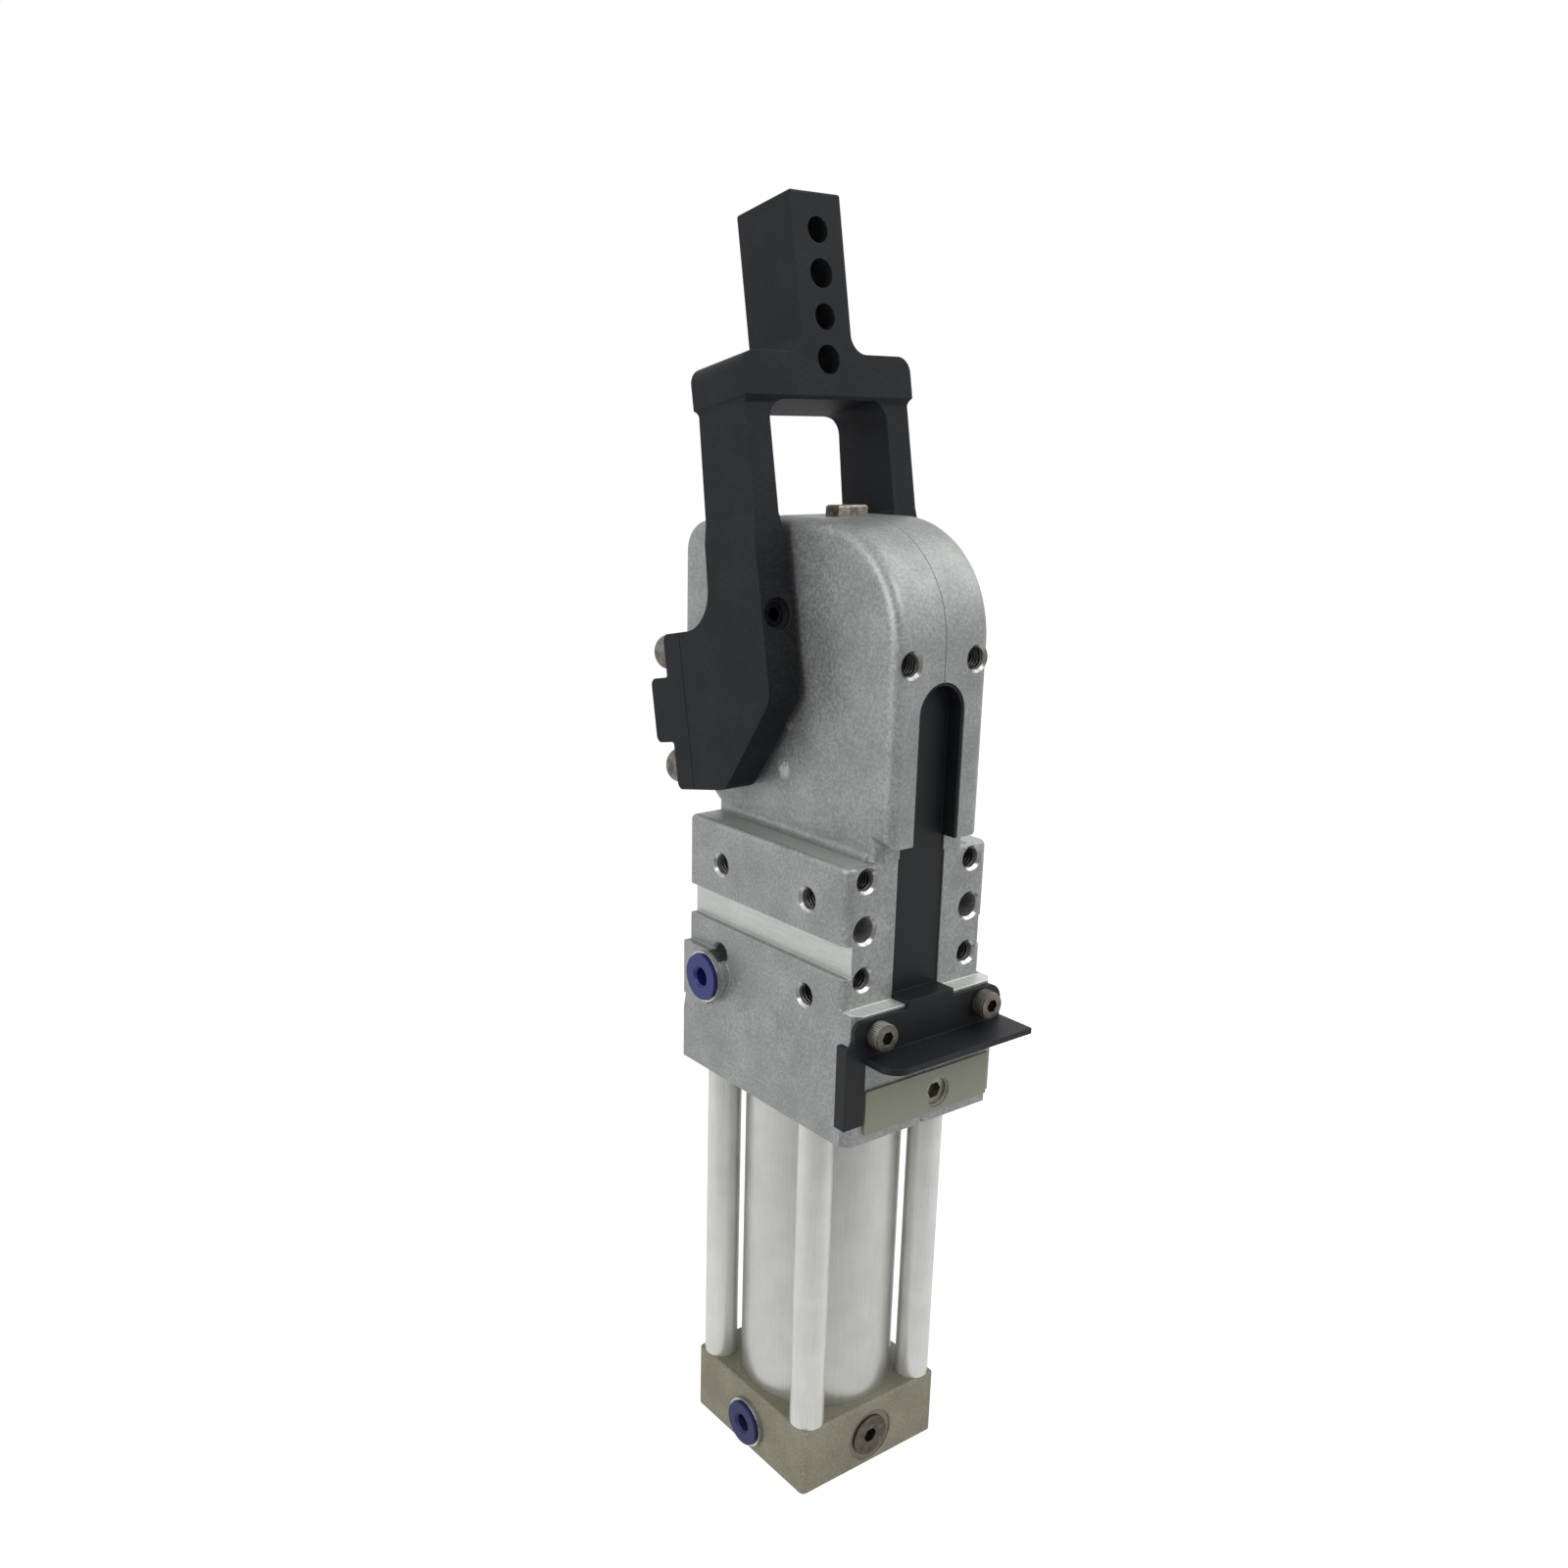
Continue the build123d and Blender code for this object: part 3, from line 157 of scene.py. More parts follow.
class ShaderGraph:
    """The node tree of a material or of the world."""

    def __init__(self, holder: bpy.types.Material | bpy.types.World) -> None:
        """Empties the holder's tree.

        Args:
            holder: The material or world; in a world, place is the ray's direction.
        """
        self.holder = holder
        holder.use_nodes = True
        self.tree = holder.node_tree
        self.tree.nodes.clear()
        source = "Generated" if isinstance(holder, bpy.types.World) else "Object"
        self.place = Wire(self, self.node("ShaderNodeTexCoord").outputs[source])

    def node(self, kind: str, settings: dict | None = None, values: dict | None = None) -> bpy.types.Node:
        """Adds a node.

        Args:
            kind: The node's type.
            settings: Its properties, set first; stops fills a colour ramp.
            values: Numbers, colours or wires for its sockets, by name or index.

        Returns:
            The new node.
        """
        node = self.tree.nodes.new(kind)
        for key, value in (settings or {}).items():
            if key == "stops":
                ramp = node.color_ramp.elements
                while len(ramp) < len(value):
                    ramp.new(1.0)
                for element, (position, colour) in zip(ramp, value):
                    element.position = position
                    element.color = (*colour, 1.0)
            else:
                setattr(node, key, value)
        for key, value in (values or {}).items():
            socket = node.inputs[key]
            if isinstance(value, Wire):
                self.tree.links.new(value.socket, socket)
            elif isinstance(value, tuple) and len(value) == 3 and socket.type == "RGBA":
                socket.default_value = (*value, 1.0)
            else:
                socket.default_value = value
        return node

    def maths(self, operation: str, first: Wire | float, second: Wire | float) -> Wire:
        """Adds a Math node on two values."""
        node = self.node("ShaderNodeMath", {"operation": operation}, {0: first, 1: second})
        return Wire(self, node.outputs[0])

    def axis(self, index: int) -> Wire:
        """Gives one object coordinate in metres: 0 for X, 1 for Y, 2 for Z."""
        return self.part(self.place, index)

    def part(self, vector: Wire, index: int) -> Wire:
        """Gives one part of a vector: 0 for X, 1 for Y, 2 for Z."""
        node = self.node("ShaderNodeSeparateXYZ", None, {0: vector})
        return Wire(self, node.outputs[index])

    def pair(self, operation: str, first: Wire, second: Wire | Place) -> Wire:
        """Gives a number from two vectors."""
        node = self.node("ShaderNodeVectorMath", {"operation": operation}, {0: first, 1: second})
        return Wire(self, node.outputs["Value"])

    def flat(self) -> Wire:
        """Gives the surface's own normal."""
        return Wire(self, self.node("ShaderNodeNewGeometry").outputs["Normal"])

    def noise(self, feature: float, detail: float = 3.0, stretch: Place = (1.0, 1.0, 1.0)) -> Wire:
        """Gives cloud noise from 0 to 1.

        Args:
            feature: Size of one patch in metres.
            detail: Finer layers in the noise.
            stretch: Scale of the pattern along X, Y and Z.

        Returns:
            The noise value.
        """
        mapping = self.node("ShaderNodeMapping", None, {"Vector": self.place, "Scale": stretch})
        place = Wire(self, mapping.outputs[0])
        look = {"Vector": place, "Scale": 1 / feature, "Detail": detail, "Roughness": 0.6}
        node = self.node("ShaderNodeTexNoise", {"noise_dimensions": "3D"}, look)
        return Wire(self, node.outputs[0])

    def spots(self, feature: float) -> Wire:
        """Gives the distance to scattered points, in parts of their spacing."""
        node = self.node("ShaderNodeTexVoronoi", None, {"Vector": self.place, "Scale": 1 / feature})
        return Wire(self, node.outputs["Distance"])

    def away(self, point: Place) -> Wire:
        """Gives the distance to a point in metres."""
        return self.pair("DISTANCE", self.place, point)

    def ramp(self, value: Wire, stops: list[tuple[float, Colour]]) -> Wire:
        """Maps a value to colours."""
        node = self.node("ShaderNodeValToRGB", {"stops": stops}, {0: value})
        return Wire(self, node.outputs[0])

    def mix(self, factor: Wire | float, first: Wire | Colour, second: Wire | Colour) -> Wire:
        """Mixes two colours."""
        node = self.node("ShaderNodeMix", {"data_type": "RGBA"}, {0: factor, 6: first, 7: second})
        return Wire(self, node.outputs[2])

    def bevel(self, radius: float) -> Wire:
        """Gives a normal that is rounded over edges."""
        node = self.node("ShaderNodeBevel", {"samples": 6}, {"Radius": radius})
        return Wire(self, node.outputs[0])

    def edges(self, rounded: Wire) -> Wire:
        """Gives 1 on sharp edges and 0 on flats, from a rounded normal."""
        return 1.0 - self.pair("DOT_PRODUCT", rounded, self.flat())

    def upward(self) -> Wire:
        """Gives 1 on faces that look up and 0 on upright ones."""
        return self.part(self.flat(), 2)

    def bump(self, height: Wire, strength: float, depth: float, normal: Wire | None = None) -> Wire:
        """Turns a height into a bumped normal."""
        values: dict = {"Height": height, "Strength": strength, "Distance": depth}
        if normal is not None:
            values["Normal"] = normal
        return Wire(self, self.node("ShaderNodeBump", None, values).outputs[0])

    def along(self, direction: Place) -> Wire:
        """Gives the place's part along a direction."""
        return self.pair("DOT_PRODUCT", self.place, direction)

    def surface(self, values: dict) -> bpy.types.Material:
        """Ends the graph in a principled surface.

        Args:
            values: Its sockets.

        Returns:
            The finished material.
        """
        shader = self.node("ShaderNodeBsdfPrincipled", None, values)
        self.node("ShaderNodeOutputMaterial", None, {0: Wire(self, shader.outputs[0])})
        return self.holder


@dataclass(frozen=True)
class Band:
    """Machined face of the casting, as limits in millimetres of |X|, Y and Z, and how bright it is; its
    brightness is partly bare machined metal and partly painted highlight.
    """

    across: tuple[float, float] | None = None
    along: tuple[float, float] | None = None
    up: tuple[float, float] | None = None
    bright: float = 1.0

    def mask(self, graph: ShaderGraph) -> Wire:
        """Gives 1 on the face and 0 elsewhere."""
        places = (graph.axis(0).size(), graph.axis(1), graph.axis(2))
        shares = [
            place.within(limits[0] * MM, limits[1] * MM)
            for place, limits in zip(places, (self.across, self.along, self.up))
            if limits
        ]
        mask = shares[0]
        for share in shares[1:]:
            mask = mask * share
        return mask


# Pale colours of the machined faces: partly bare machined metal, partly painted highlight.
MACHINED_HIGHLIGHT_DARK = linear(206, 208, 204)
MACHINED_HIGHLIGHT_PALE = linear(230, 232, 228)
CAST_MARK = linear(214, 216, 210)
SEAM = linear(62, 64, 62)


@dataclass(frozen=True)
class CastFinish:
    """Blasted casting with fine speckle, pores, edges paled partly by wear and partly by painted highlight,
    machined faces with partly painted highlight, marks, a seam and, if given, painted shade on faces that
    look up.
    """

    name: str
    dark: Colour
    middle: Colour
    pale: Colour
    worn_and_highlit: Colour
    metallic: float = 0.6
    rough: float = 0.45
    specular: float = 0.5
    grain: float = 1.0 * MM
    cloud: float = 16 * MM
    edge: float = 0.45 * MM
    edge_gain: float = 6.0
    wear_and_highlight: float = 0.6
    depth: float = 0.1 * MM
    pores: float = 0.5
    pore_spacing: float = 1.7 * MM
    pore_size: float = 0.16
    seam: bool = False
    seam_half: float = 0.16 * MM
    seam_soft: float = 0.12 * MM
    machined: tuple[Band, ...] = ()
    machined_rough: float = 0.42
    machined_line: float = 0.5 * MM
    marks: tuple[tuple[Place, float], ...] = ()
    painted_top_shade: Colour | None = None
    painted_top_shade_share: float = 0.35

    def paint(self, graph: ShaderGraph, blend: Wire, pore: Wire) -> Wire:
        """Gives the casting's own colour with its pores, and painted shade on faces that look up.

        Args:
            graph: The material's tree.
            blend: The speckle, from 0 to 1.
            pore: The pores' mask.

        Returns:
            The colour.
        """
        colour = graph.ramp(blend, [(0.36, self.dark), (0.5, self.middle), (0.64, self.pale)])
        colour = graph.mix(pore, colour, self.dark)
        # Faces that look up are mixed towards a darker colour: painted shade.
        if self.painted_top_shade:
            upward = graph.upward().within(0.7, 2.0, 0.2)
            colour = graph.mix(upward * self.painted_top_shade_share, colour, self.painted_top_shade)
        return colour

    def faces(self, graph: ShaderGraph) -> tuple[Wire, Wire]:
        """Gives the mask of the machined faces and their share of the bright colour, which is partly bare
        metal and partly painted highlight.
        """
        first = self.machined[0]
        mask = first.mask(graph)
        share = mask * first.bright
        for band in self.machined[1:]:
            face = band.mask(graph)
            mask = mask.most(face)
            share = share.most(face * band.bright)
        return mask, share

    def make(self) -> bpy.types.Material:
        """Builds the material."""
        graph = ShaderGraph(bpy.data.materials.new(self.name))
        fine = graph.noise(self.grain, 2.0)
        cloud = graph.noise(self.cloud, 3.0)
        pore = graph.spots(self.pore_spacing).below(self.pore_size, self.pore_size / 2) * self.pores
        colour = self.paint(graph, fine * 0.6 + cloud * 0.4, pore)
        rounded = graph.bevel(self.edge)
        edge = graph.edges(rounded) * self.edge_gain
        # Edges from the bevel mask are lightened: partly edge wear, partly painted highlight.
        worn_and_highlit = (edge * (cloud + 0.4)).least(1.0) * self.wear_and_highlight
        rough = self.rough + (fine - 0.5) * 0.3
        height = fine + graph.noise(self.grain * 0.45, 1.0) * 0.5 - pore
        if self.machined:
            mask, share = self.faces(graph)
            lines = graph.noise(self.machined_line, 2.0, (1.0, 0.04, 1.0))
            # The machined faces' pale colour: partly bare metal, partly painted highlight.
            bright = graph.ramp(lines, [(0.3, MACHINED_HIGHLIGHT_DARK), (0.7, MACHINED_HIGHLIGHT_PALE)])
            colour = graph.mix(share, colour, bright)
            rough = rough * (1.0 - mask) + mask * self.machined_rough
            height = height * (1.0 - mask)
            worn_and_highlit = worn_and_highlit * (1.0 - mask)
        colour = graph.mix(worn_and_highlit, colour, self.worn_and_highlit)
        for place, radius in self.marks:
            mark = graph.away(place).below(radius, radius) * fine.within(0.42, 1.0, 0.1)
            colour = graph.mix(mark, colour, CAST_MARK)
        if self.seam:
            line = graph.axis(0).size().below(self.seam_half, self.seam_soft)
            colour = graph.mix(line * 0.7, colour, SEAM)
            height = height - line * 3.0
        return graph.surface(
            {
                "Base Color": colour,
                "Metallic": self.metallic,
                "Specular IOR Level": self.specular,
                "Roughness": rough,
                "Normal": graph.bump(height, 0.5, self.depth, rounded),
            }
        )


@dataclass(frozen=True)
class DrawnFinish:
    """Drawn or turned bar with fine lines along or around Z."""

    name: str
    dark: Colour
    pale: Colour
    metallic: float = 0.8
    rough: float = 0.32
    across: Place = (1.0, 1.0, 0.02)
    line: float = 0.35 * MM
    cloud: float = 14 * MM
    edge: float = 0.3 * MM
    depth: float = 0.01 * MM

    def make(self) -> bpy.types.Material:
        """Builds the material."""
        graph = ShaderGraph(bpy.data.materials.new(self.name))
        lines = graph.noise(self.line, 2.0, self.across)
        cloud = graph.noise(self.cloud, 3.0)
        blend = lines * 0.45 + cloud * 0.55
        colour = graph.ramp(blend, [(0.3, self.dark), (0.7, self.pale)])
        return graph.surface(
            {
                "Base Color": colour,
                "Metallic": self.metallic,
                "Roughness": self.rough + (lines - 0.5) * 0.2,
                "Normal": graph.bump(lines, 0.4, self.depth, graph.bevel(self.edge)),
            }
        )


@dataclass(frozen=True)
class MouldedFinish:
    """Moulded plastic or rubber with a fine pebble and paler edges; the paler edges are painted highlight.
    """

    name: str
    base: Colour
    pale: Colour
    rough: float = 0.5
    specular: float = 0.3
    coat: float = 0.0
    pebble: float = 0.5 * MM
    cloud: float = 12 * MM
    edge: float = 0.35 * MM
    edge_gain: float = 4.0
    depth: float = 0.03 * MM

    def make(self) -> bpy.types.Material:
        """Builds the material."""
        graph = ShaderGraph(bpy.data.materials.new(self.name))
        pebble = graph.noise(self.pebble, 2.0)
        cloud = graph.noise(self.cloud, 3.0)
        rounded = graph.bevel(self.edge)
        # Bevel edges are lightened towards the pale colour: painted highlight.
        edge = (graph.edges(rounded) * self.edge_gain).least(1.0)
        colour = graph.mix(edge * 0.6 + cloud * 0.25, self.base, self.pale)
        return graph.surface(
            {
                "Base Color": colour,
                "Specular IOR Level": self.specular,
                "Roughness": self.rough + (pebble - 0.5) * 0.2 + (cloud - 0.5) * 0.15,
                "Coat Weight": self.coat,
                "Normal": graph.bump(pebble, 0.4, self.depth, rounded),
            }
        )


@dataclass(frozen=True)
class MetalFinish:
    """Small turned metal piece with light scratches and stains."""

    name: str
    dark: Colour
    pale: Colour
    rough: float = 0.3
    stain: float = 2.5 * MM
    grain: float = 0.3 * MM
    edge: float = 0.2 * MM
    depth: float = 0.01 * MM

    def make(self) -> bpy.types.Material:
        """Builds the material."""
        graph = ShaderGraph(bpy.data.materials.new(self.name))
        stain = graph.noise(self.stain, 4.0)
        fine = graph.noise(self.grain, 1.0)
        colour = graph.ramp(stain, [(0.3, self.dark), (0.65, self.pale)])
        return graph.surface(
            {
                "Base Color": colour,
                "Metallic": 1.0,
                "Roughness": self.rough + (stain - 0.5) * 0.25,
                "Normal": graph.bump(fine, 0.3, self.depth, graph.bevel(self.edge)),
            }
        )


class Slot(Enum):
    """The record's material slots."""

    CASTING = "cast_aluminium"
    ARM = "arm_casting"
    TUBE = "tube_aluminium"
    ROD = "rod_steel"
    KHAKI = "cover_khaki"
    SCREW = "screw_steel"
    BLACK = "black_plastic"
    BLUE = "blue_plastic"
    NICKEL = "fitting_nickel"
    PLATE = "nameplate_foil"
    BRONZE = "bearing_bronze"
    RUBBER = "seal_rubber"
    HARD = "dark_steel"


# Each band's bright share is how much painted highlight its machined face gets.
MACHINED = (
    Band(across=(27.3, 27.7), up=(195.2, 205.8), bright=0.6),
    Band(along=(-47.6, -41.4), up=(184.9, 185.3)),
    Band(across=(21.5, 30.0), up=(230.8, 231.2), bright=0.45),
)
MARKS = (
    ((-19.4 * MM, 1.5 * MM, 267.0 * MM), 1.6 * MM),
    ((-19.4 * MM, 3.4 * MM, 252.0 * MM), 2.6 * MM),
)
FINISHES = {
    Slot.CASTING: CastFinish(
        "blasted_casting",
        linear(130, 133, 131),
        linear(146, 149, 147),
        linear(164, 167, 164),
        linear(206, 208, 204),
        seam=True,
        machined=MACHINED,
        marks=MARKS,
    ),
    Slot.ARM: CastFinish(
        "black_arm_casting",
        linear(17, 19, 22),
        linear(24, 26, 30),
        linear(34, 36, 41),
        linear(62, 64, 69),
        metallic=0.0,
        rough=0.6,
        specular=0.18,
        wear_and_highlight=0.45,
        depth=0.06 * MM,
        pores=0.2,
    ),
    Slot.TUBE: DrawnFinish("drawn_tube", linear(186, 187, 182), linear(206, 207, 202)),
    Slot.ROD: DrawnFinish("drawn_tie_rods", linear(198, 199, 194), linear(220, 221, 216), metallic=0.55),
    Slot.KHAKI: CastFinish(
        "khaki_cover",
        linear(118, 115, 100),
        linear(132, 129, 112),
        linear(148, 145, 127),
        linear(178, 175, 158),
        metallic=0.2,
        rough=0.55,
        specular=0.25,
        depth=0.04 * MM,
        wear_and_highlight=0.4,
        pores=0.2,
        # Darker colour for the cover's upward faces: painted shade.
        painted_top_shade=linear(102, 100, 88),
    ),
    Slot.SCREW: MetalFinish("plain_screws", linear(140, 138, 131), linear(176, 174, 166), stain=6 * MM),
    Slot.BLACK: MouldedFinish("black_moulding", linear(16, 18, 21), linear(40, 42, 46)),
    Slot.BLUE: MouldedFinish(
        "blue_moulding", linear(22, 33, 98), linear(48, 62, 132), rough=0.38, specular=0.35, coat=0.1
    ),
    Slot.NICKEL: MetalFinish("nickel_fittings", linear(160, 159, 160), linear(206, 205, 206), rough=0.24),
    Slot.PLATE: MouldedFinish("bare_nameplate", linear(126, 128, 112), linear(158, 160, 146), rough=0.45),
    Slot.BRONZE: MetalFinish("bronze_bearings", linear(122, 92, 52), linear(176, 140, 88)),
    Slot.RUBBER: MouldedFinish("black_rubber", linear(18, 18, 19), linear(40, 40, 42), rough=0.7),
    Slot.HARD: MetalFinish("hardened_steel", linear(70, 70, 72), linear(120, 120, 122), rough=0.38),
}
NODE_FINISHES = {
    "arm_cap_screws": MetalFinish("dull_cap_screws", linear(76, 75, 71), linear(130, 128, 121), rough=0.42),
    "rear_port_plug": MetalFinish("aged_port_plug", linear(66, 62, 53), linear(104, 99, 87), rough=0.42),
    "cover_screws": MetalFinish("aged_cover_screws", linear(92, 88, 79), linear(136, 131, 120), rough=0.36),
    "release_button": MetalFinish(
        "worn_button", linear(84, 80, 71), linear(158, 153, 140), rough=0.4, stain=1.6 * MM
    ),
    "arm_set_screws": MetalFinish("black_set_screws", linear(16, 16, 18), linear(40, 40, 43), rough=0.5),
    # Greyed blue for the rear collar: painted sheen, not dust.
    "rear_port_collar": MouldedFinish("sheen_greyed_blue", linear(26, 36, 78), linear(56, 66, 112), rough=0.5),
    "nameplate_plug": MetalFinish("pale_body_plug", linear(128, 126, 112), linear(158, 156, 142), rough=0.4),
}


class Finishes:
    """Builds every finish once and hands it out by slot."""

    def __init__(self) -> None:
        """Builds all the materials."""
        self.made = {slot: finish.make() for slot, finish in FINISHES.items()}
        self.own = {node: finish.make() for node, finish in NODE_FINISHES.items()}

    def dress_nodes(self, frame: dict) -> None:
        """Gives each CAD node the finish of its slot.
        """
        slots = {part["node"]: part["material_slot"] for part in frame["record"]["subparts"]}
        for name, item in frame["nodes"].items():
            item.data.materials.clear()
            item.data.materials.append(self.own.get(name) or self.made[Slot(slots[name])])


class GeometryTree:
    """A Geometry Nodes tree with named inputs that ends in plain geometry."""

    def __init__(self, name: str, inputs: dict[str, tuple[str, float | int]]) -> None:
        """Makes the tree.

        Args:
            name: The tree's name.
            inputs: Each input's socket type and value.
        """
        self.tree = bpy.data.node_groups.new(name, "GeometryNodeTree")
        self.values: dict[str, float | int] = {}
        face = self.tree.interface
        face.new_socket(name="Geometry", in_out="INPUT", socket_type="NodeSocketGeometry")
        face.new_socket(name="Geometry", in_out="OUTPUT", socket_type="NodeSocketGeometry")
        for key, (kind, value) in inputs.items():
            socket = face.new_socket(name=key, in_out="INPUT", socket_type=kind)
            self.values[socket.identifier] = value
        self.start = self.tree.nodes.new("NodeGroupInput")

    def node(self, kind: str, settings: dict | None = None, values: dict | None = None) -> bpy.types.Node:
        """Adds a node; values are numbers, vectors or sockets."""
        node = self.tree.nodes.new(kind)
        for key, value in (settings or {}).items():
            setattr(node, key, value)
        for key, value in (values or {}).items():
            if isinstance(value, bpy.types.NodeSocket):
                self.tree.links.new(value, node.inputs[key])
            else:
                node.inputs[key].default_value = value
        return node

    def given(self, name: str) -> bpy.types.NodeSocket:
        """Gives one of the tree's own inputs."""
        return self.start.outputs[name]

    def repeat(self, shape: bpy.types.NodeSocket, turn: Euler, material: bpy.types.Material) -> None:
        """Turns one shape, repeats it on the points and closes the tree.

        Args:
            shape: The shape, with its axis along Z.
            turn: The turn that takes Z to the axis of the copies.
            material: The finish of the copies.
        """
        turned = self.node("GeometryNodeTransform", None, {0: shape, "Rotation": turn})
        cloud = self.node("GeometryNodeMeshToPoints", None, {0: self.given("Geometry")})
        copies = self.node(
            "GeometryNodeInstanceOnPoints",
            None,
            {"Points": cloud.outputs[0], "Instance": turned.outputs[0]},
        )
        real = self.node("GeometryNodeRealizeInstances", None, {0: copies.outputs[0]})
        look = {"Geometry": real.outputs[0], "Material": material}
        dressed = self.node("GeometryNodeSetMaterial", None, look)
        end = self.tree.nodes.new("NodeGroupOutput")
        self.tree.links.new(dressed.outputs[0], end.inputs[0])

    def bake(self, name: str, points: Sequence[Place], material: bpy.types.Material) -> bpy.types.Object:
        """Runs the tree on a cloud of points and keeps the result as a plain mesh.

        Args:
            name: The piece's name.
            points: Where the tree puts its pieces.
            material: The finish of the piece.

        Returns:
            The finished object.
        """
        mesh = bpy.data.meshes.new(name)
        mesh.from_pydata(points, [], [])
        item = bpy.data.objects.new(name, mesh)
        bpy.context.scene.collection.objects.link(item)
        modifier = item.modifiers.new("tree", "NODES")
        modifier.node_group = self.tree
        for identifier, value in self.values.items():
            modifier[identifier] = value
        bpy.context.view_layer.update()
        ready = item.evaluated_get(bpy.context.evaluated_depsgraph_get())
        plain = bpy.data.meshes.new_from_object(ready)
        item.modifiers.clear()
        item.data = plain
        plain.name = name
        plain.materials.clear()
        plain.materials.append(material)
        return item


def grid(across: Sequence[float], along: Sequence[float], up: Sequence[float]) -> tuple[Place, ...]:
    """Gives every point with these X, Y and Z, from millimetres."""
    return tuple((x * MM, y * MM, z * MM) for x in across for y in along for z in up)


@dataclass(frozen=True)
class HoleRow:
    """Equal holes that open the same way.

    The points are the mouths' centres and facing is the direction out of them.
    """

    name: str
    points: tuple[Place, ...]
    facing: Place
    radius: float
    depth: float
    threaded: bool = True
    rim: Slot = Slot.NICKEL
    body: str = "body"

    def turn(self) -> Euler:
        """Gives the turn that takes +Z to the facing direction."""
        return Vector(self.facing).to_track_quat("Z", "Y").to_matrix().to_euler()


@dataclass
class HoleDressing:
    """Bright countersinks and thread turns for the open holes; the thread turns are dark steel, painted
    shade inside the holes.
    """

    finishes: Finishes
    pitch: float = 1.25 * MM
    sink: float = 0.9 * MM
    skin: float = 0.04 * MM
    thread: float = 0.5 * MM
    around: int = 40
    turn_steps: int = 24
    weld: float = 1e-6

    def sink_tree(self, row: HoleRow) -> GeometryTree:
        """Builds the tree of a thin bright cone that lines each countersink."""
        tree = GeometryTree(
            row.name + "_sinks",
            {
                "Radius": ("NodeSocketFloat", row.radius - self.skin),
                "Sink": ("NodeSocketFloat", self.sink),
                "Skin": ("NodeSocketFloat", self.skin / 2),
            },
        )
        wide = tree.node(
            "ShaderNodeMath", {"operation": "ADD"}, {0: tree.given("Radius"), 1: tree.given("Sink")}
        )
        cone = tree.node(
            "GeometryNodeMeshCone",
            {"fill_type": "NONE"},
            {
                "Vertices": self.around,
                "Radius Top": wide.outputs[0],
                "Radius Bottom": tree.given("Radius"),
                "Depth": tree.given("Sink"),
            },
        )
        back = tree.node(
            "GeometryNodeExtrudeMesh",
            {"mode": "FACES"},
            {"Mesh": cone.outputs["Mesh"], "Offset Scale": tree.given("Skin"), "Individual": False},
        )
        front = tree.node("GeometryNodeFlipFaces", None, {"Mesh": cone.outputs["Mesh"]})
        both = tree.node("GeometryNodeJoinGeometry")
        tree.tree.links.new(back.outputs["Mesh"], both.inputs[0])
        tree.tree.links.new(front.outputs["Mesh"], both.inputs[0])
        weld = {"Geometry": both.outputs[0], "Distance": self.weld}
        closed = tree.node("GeometryNodeMergeByDistance", None, weld)
        drop = (0.0, 0.0, -self.sink)
        sunk = tree.node("GeometryNodeTransform", None, {0: closed.outputs[0], "Translation": drop})
        tree.repeat(sunk.outputs[0], row.turn(), self.finishes.made[row.rim])
        return tree

    def thread_tree(self, row: HoleRow) -> GeometryTree:
        """Builds the tree of a thread ridge that winds down each hole; its dark steel finish is painted
        shade in the hole.
        """
        length = row.depth - self.sink - self.pitch
        tree = GeometryTree(
            row.name + "_threads",
            {
                "Radius": ("NodeSocketFloat", row.radius - self.thread * 0.25),
                "Length": ("NodeSocketFloat", length),
                "Ridge": ("NodeSocketFloat", self.thread),
            },
        )
        path = tree.node(
            "GeometryNodeCurveSpiral",
            None,
            {
                "Resolution": self.turn_steps,
                "Rotations": length / self.pitch,
                "Start Radius": tree.given("Radius"),
                "End Radius": tree.given("Radius"),
                "Height": tree.given("Length"),
            },
        )
        section = tree.node(
            "GeometryNodeCurvePrimitiveCircle", None, {"Resolution": 3, "Radius": tree.given("Ridge")}
        )
        parts = {0: path.outputs[0], 1: section.outputs[0], "Fill Caps": True}
        solid = tree.node("GeometryNodeCurveToMesh", None, parts)
        drop = (0.0, 0.0, self.pitch / 2 - row.depth)
        sunk = tree.node("GeometryNodeTransform", None, {0: solid.outputs[0], "Translation": drop})
        # Dark steel on the thread ridges: painted shade inside the holes.
        tree.repeat(sunk.outputs[0], row.turn(), self.finishes.made[Slot.HARD])
        return tree

    def build(self, row: HoleRow) -> None:
        """Makes the countersinks and threads of one row of holes."""
        sinks = self.sink_tree(row).bake(row.name + "_sinks", row.points, self.finishes.made[row.rim])
        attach(sinks, row.body)
        LOG.info("%s countersinks: %d faces", row.name, len(sinks.data.polygons))
        if row.threaded:
            # The threads' dark steel finish is painted shade inside the holes.
            steel = self.finishes.made[Slot.HARD]
            threads = self.thread_tree(row).bake(row.name + "_threads", row.points, steel)
            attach(threads, row.body)
            LOG.info("%s threads: %d faces", row.name, len(threads.data.polygons))


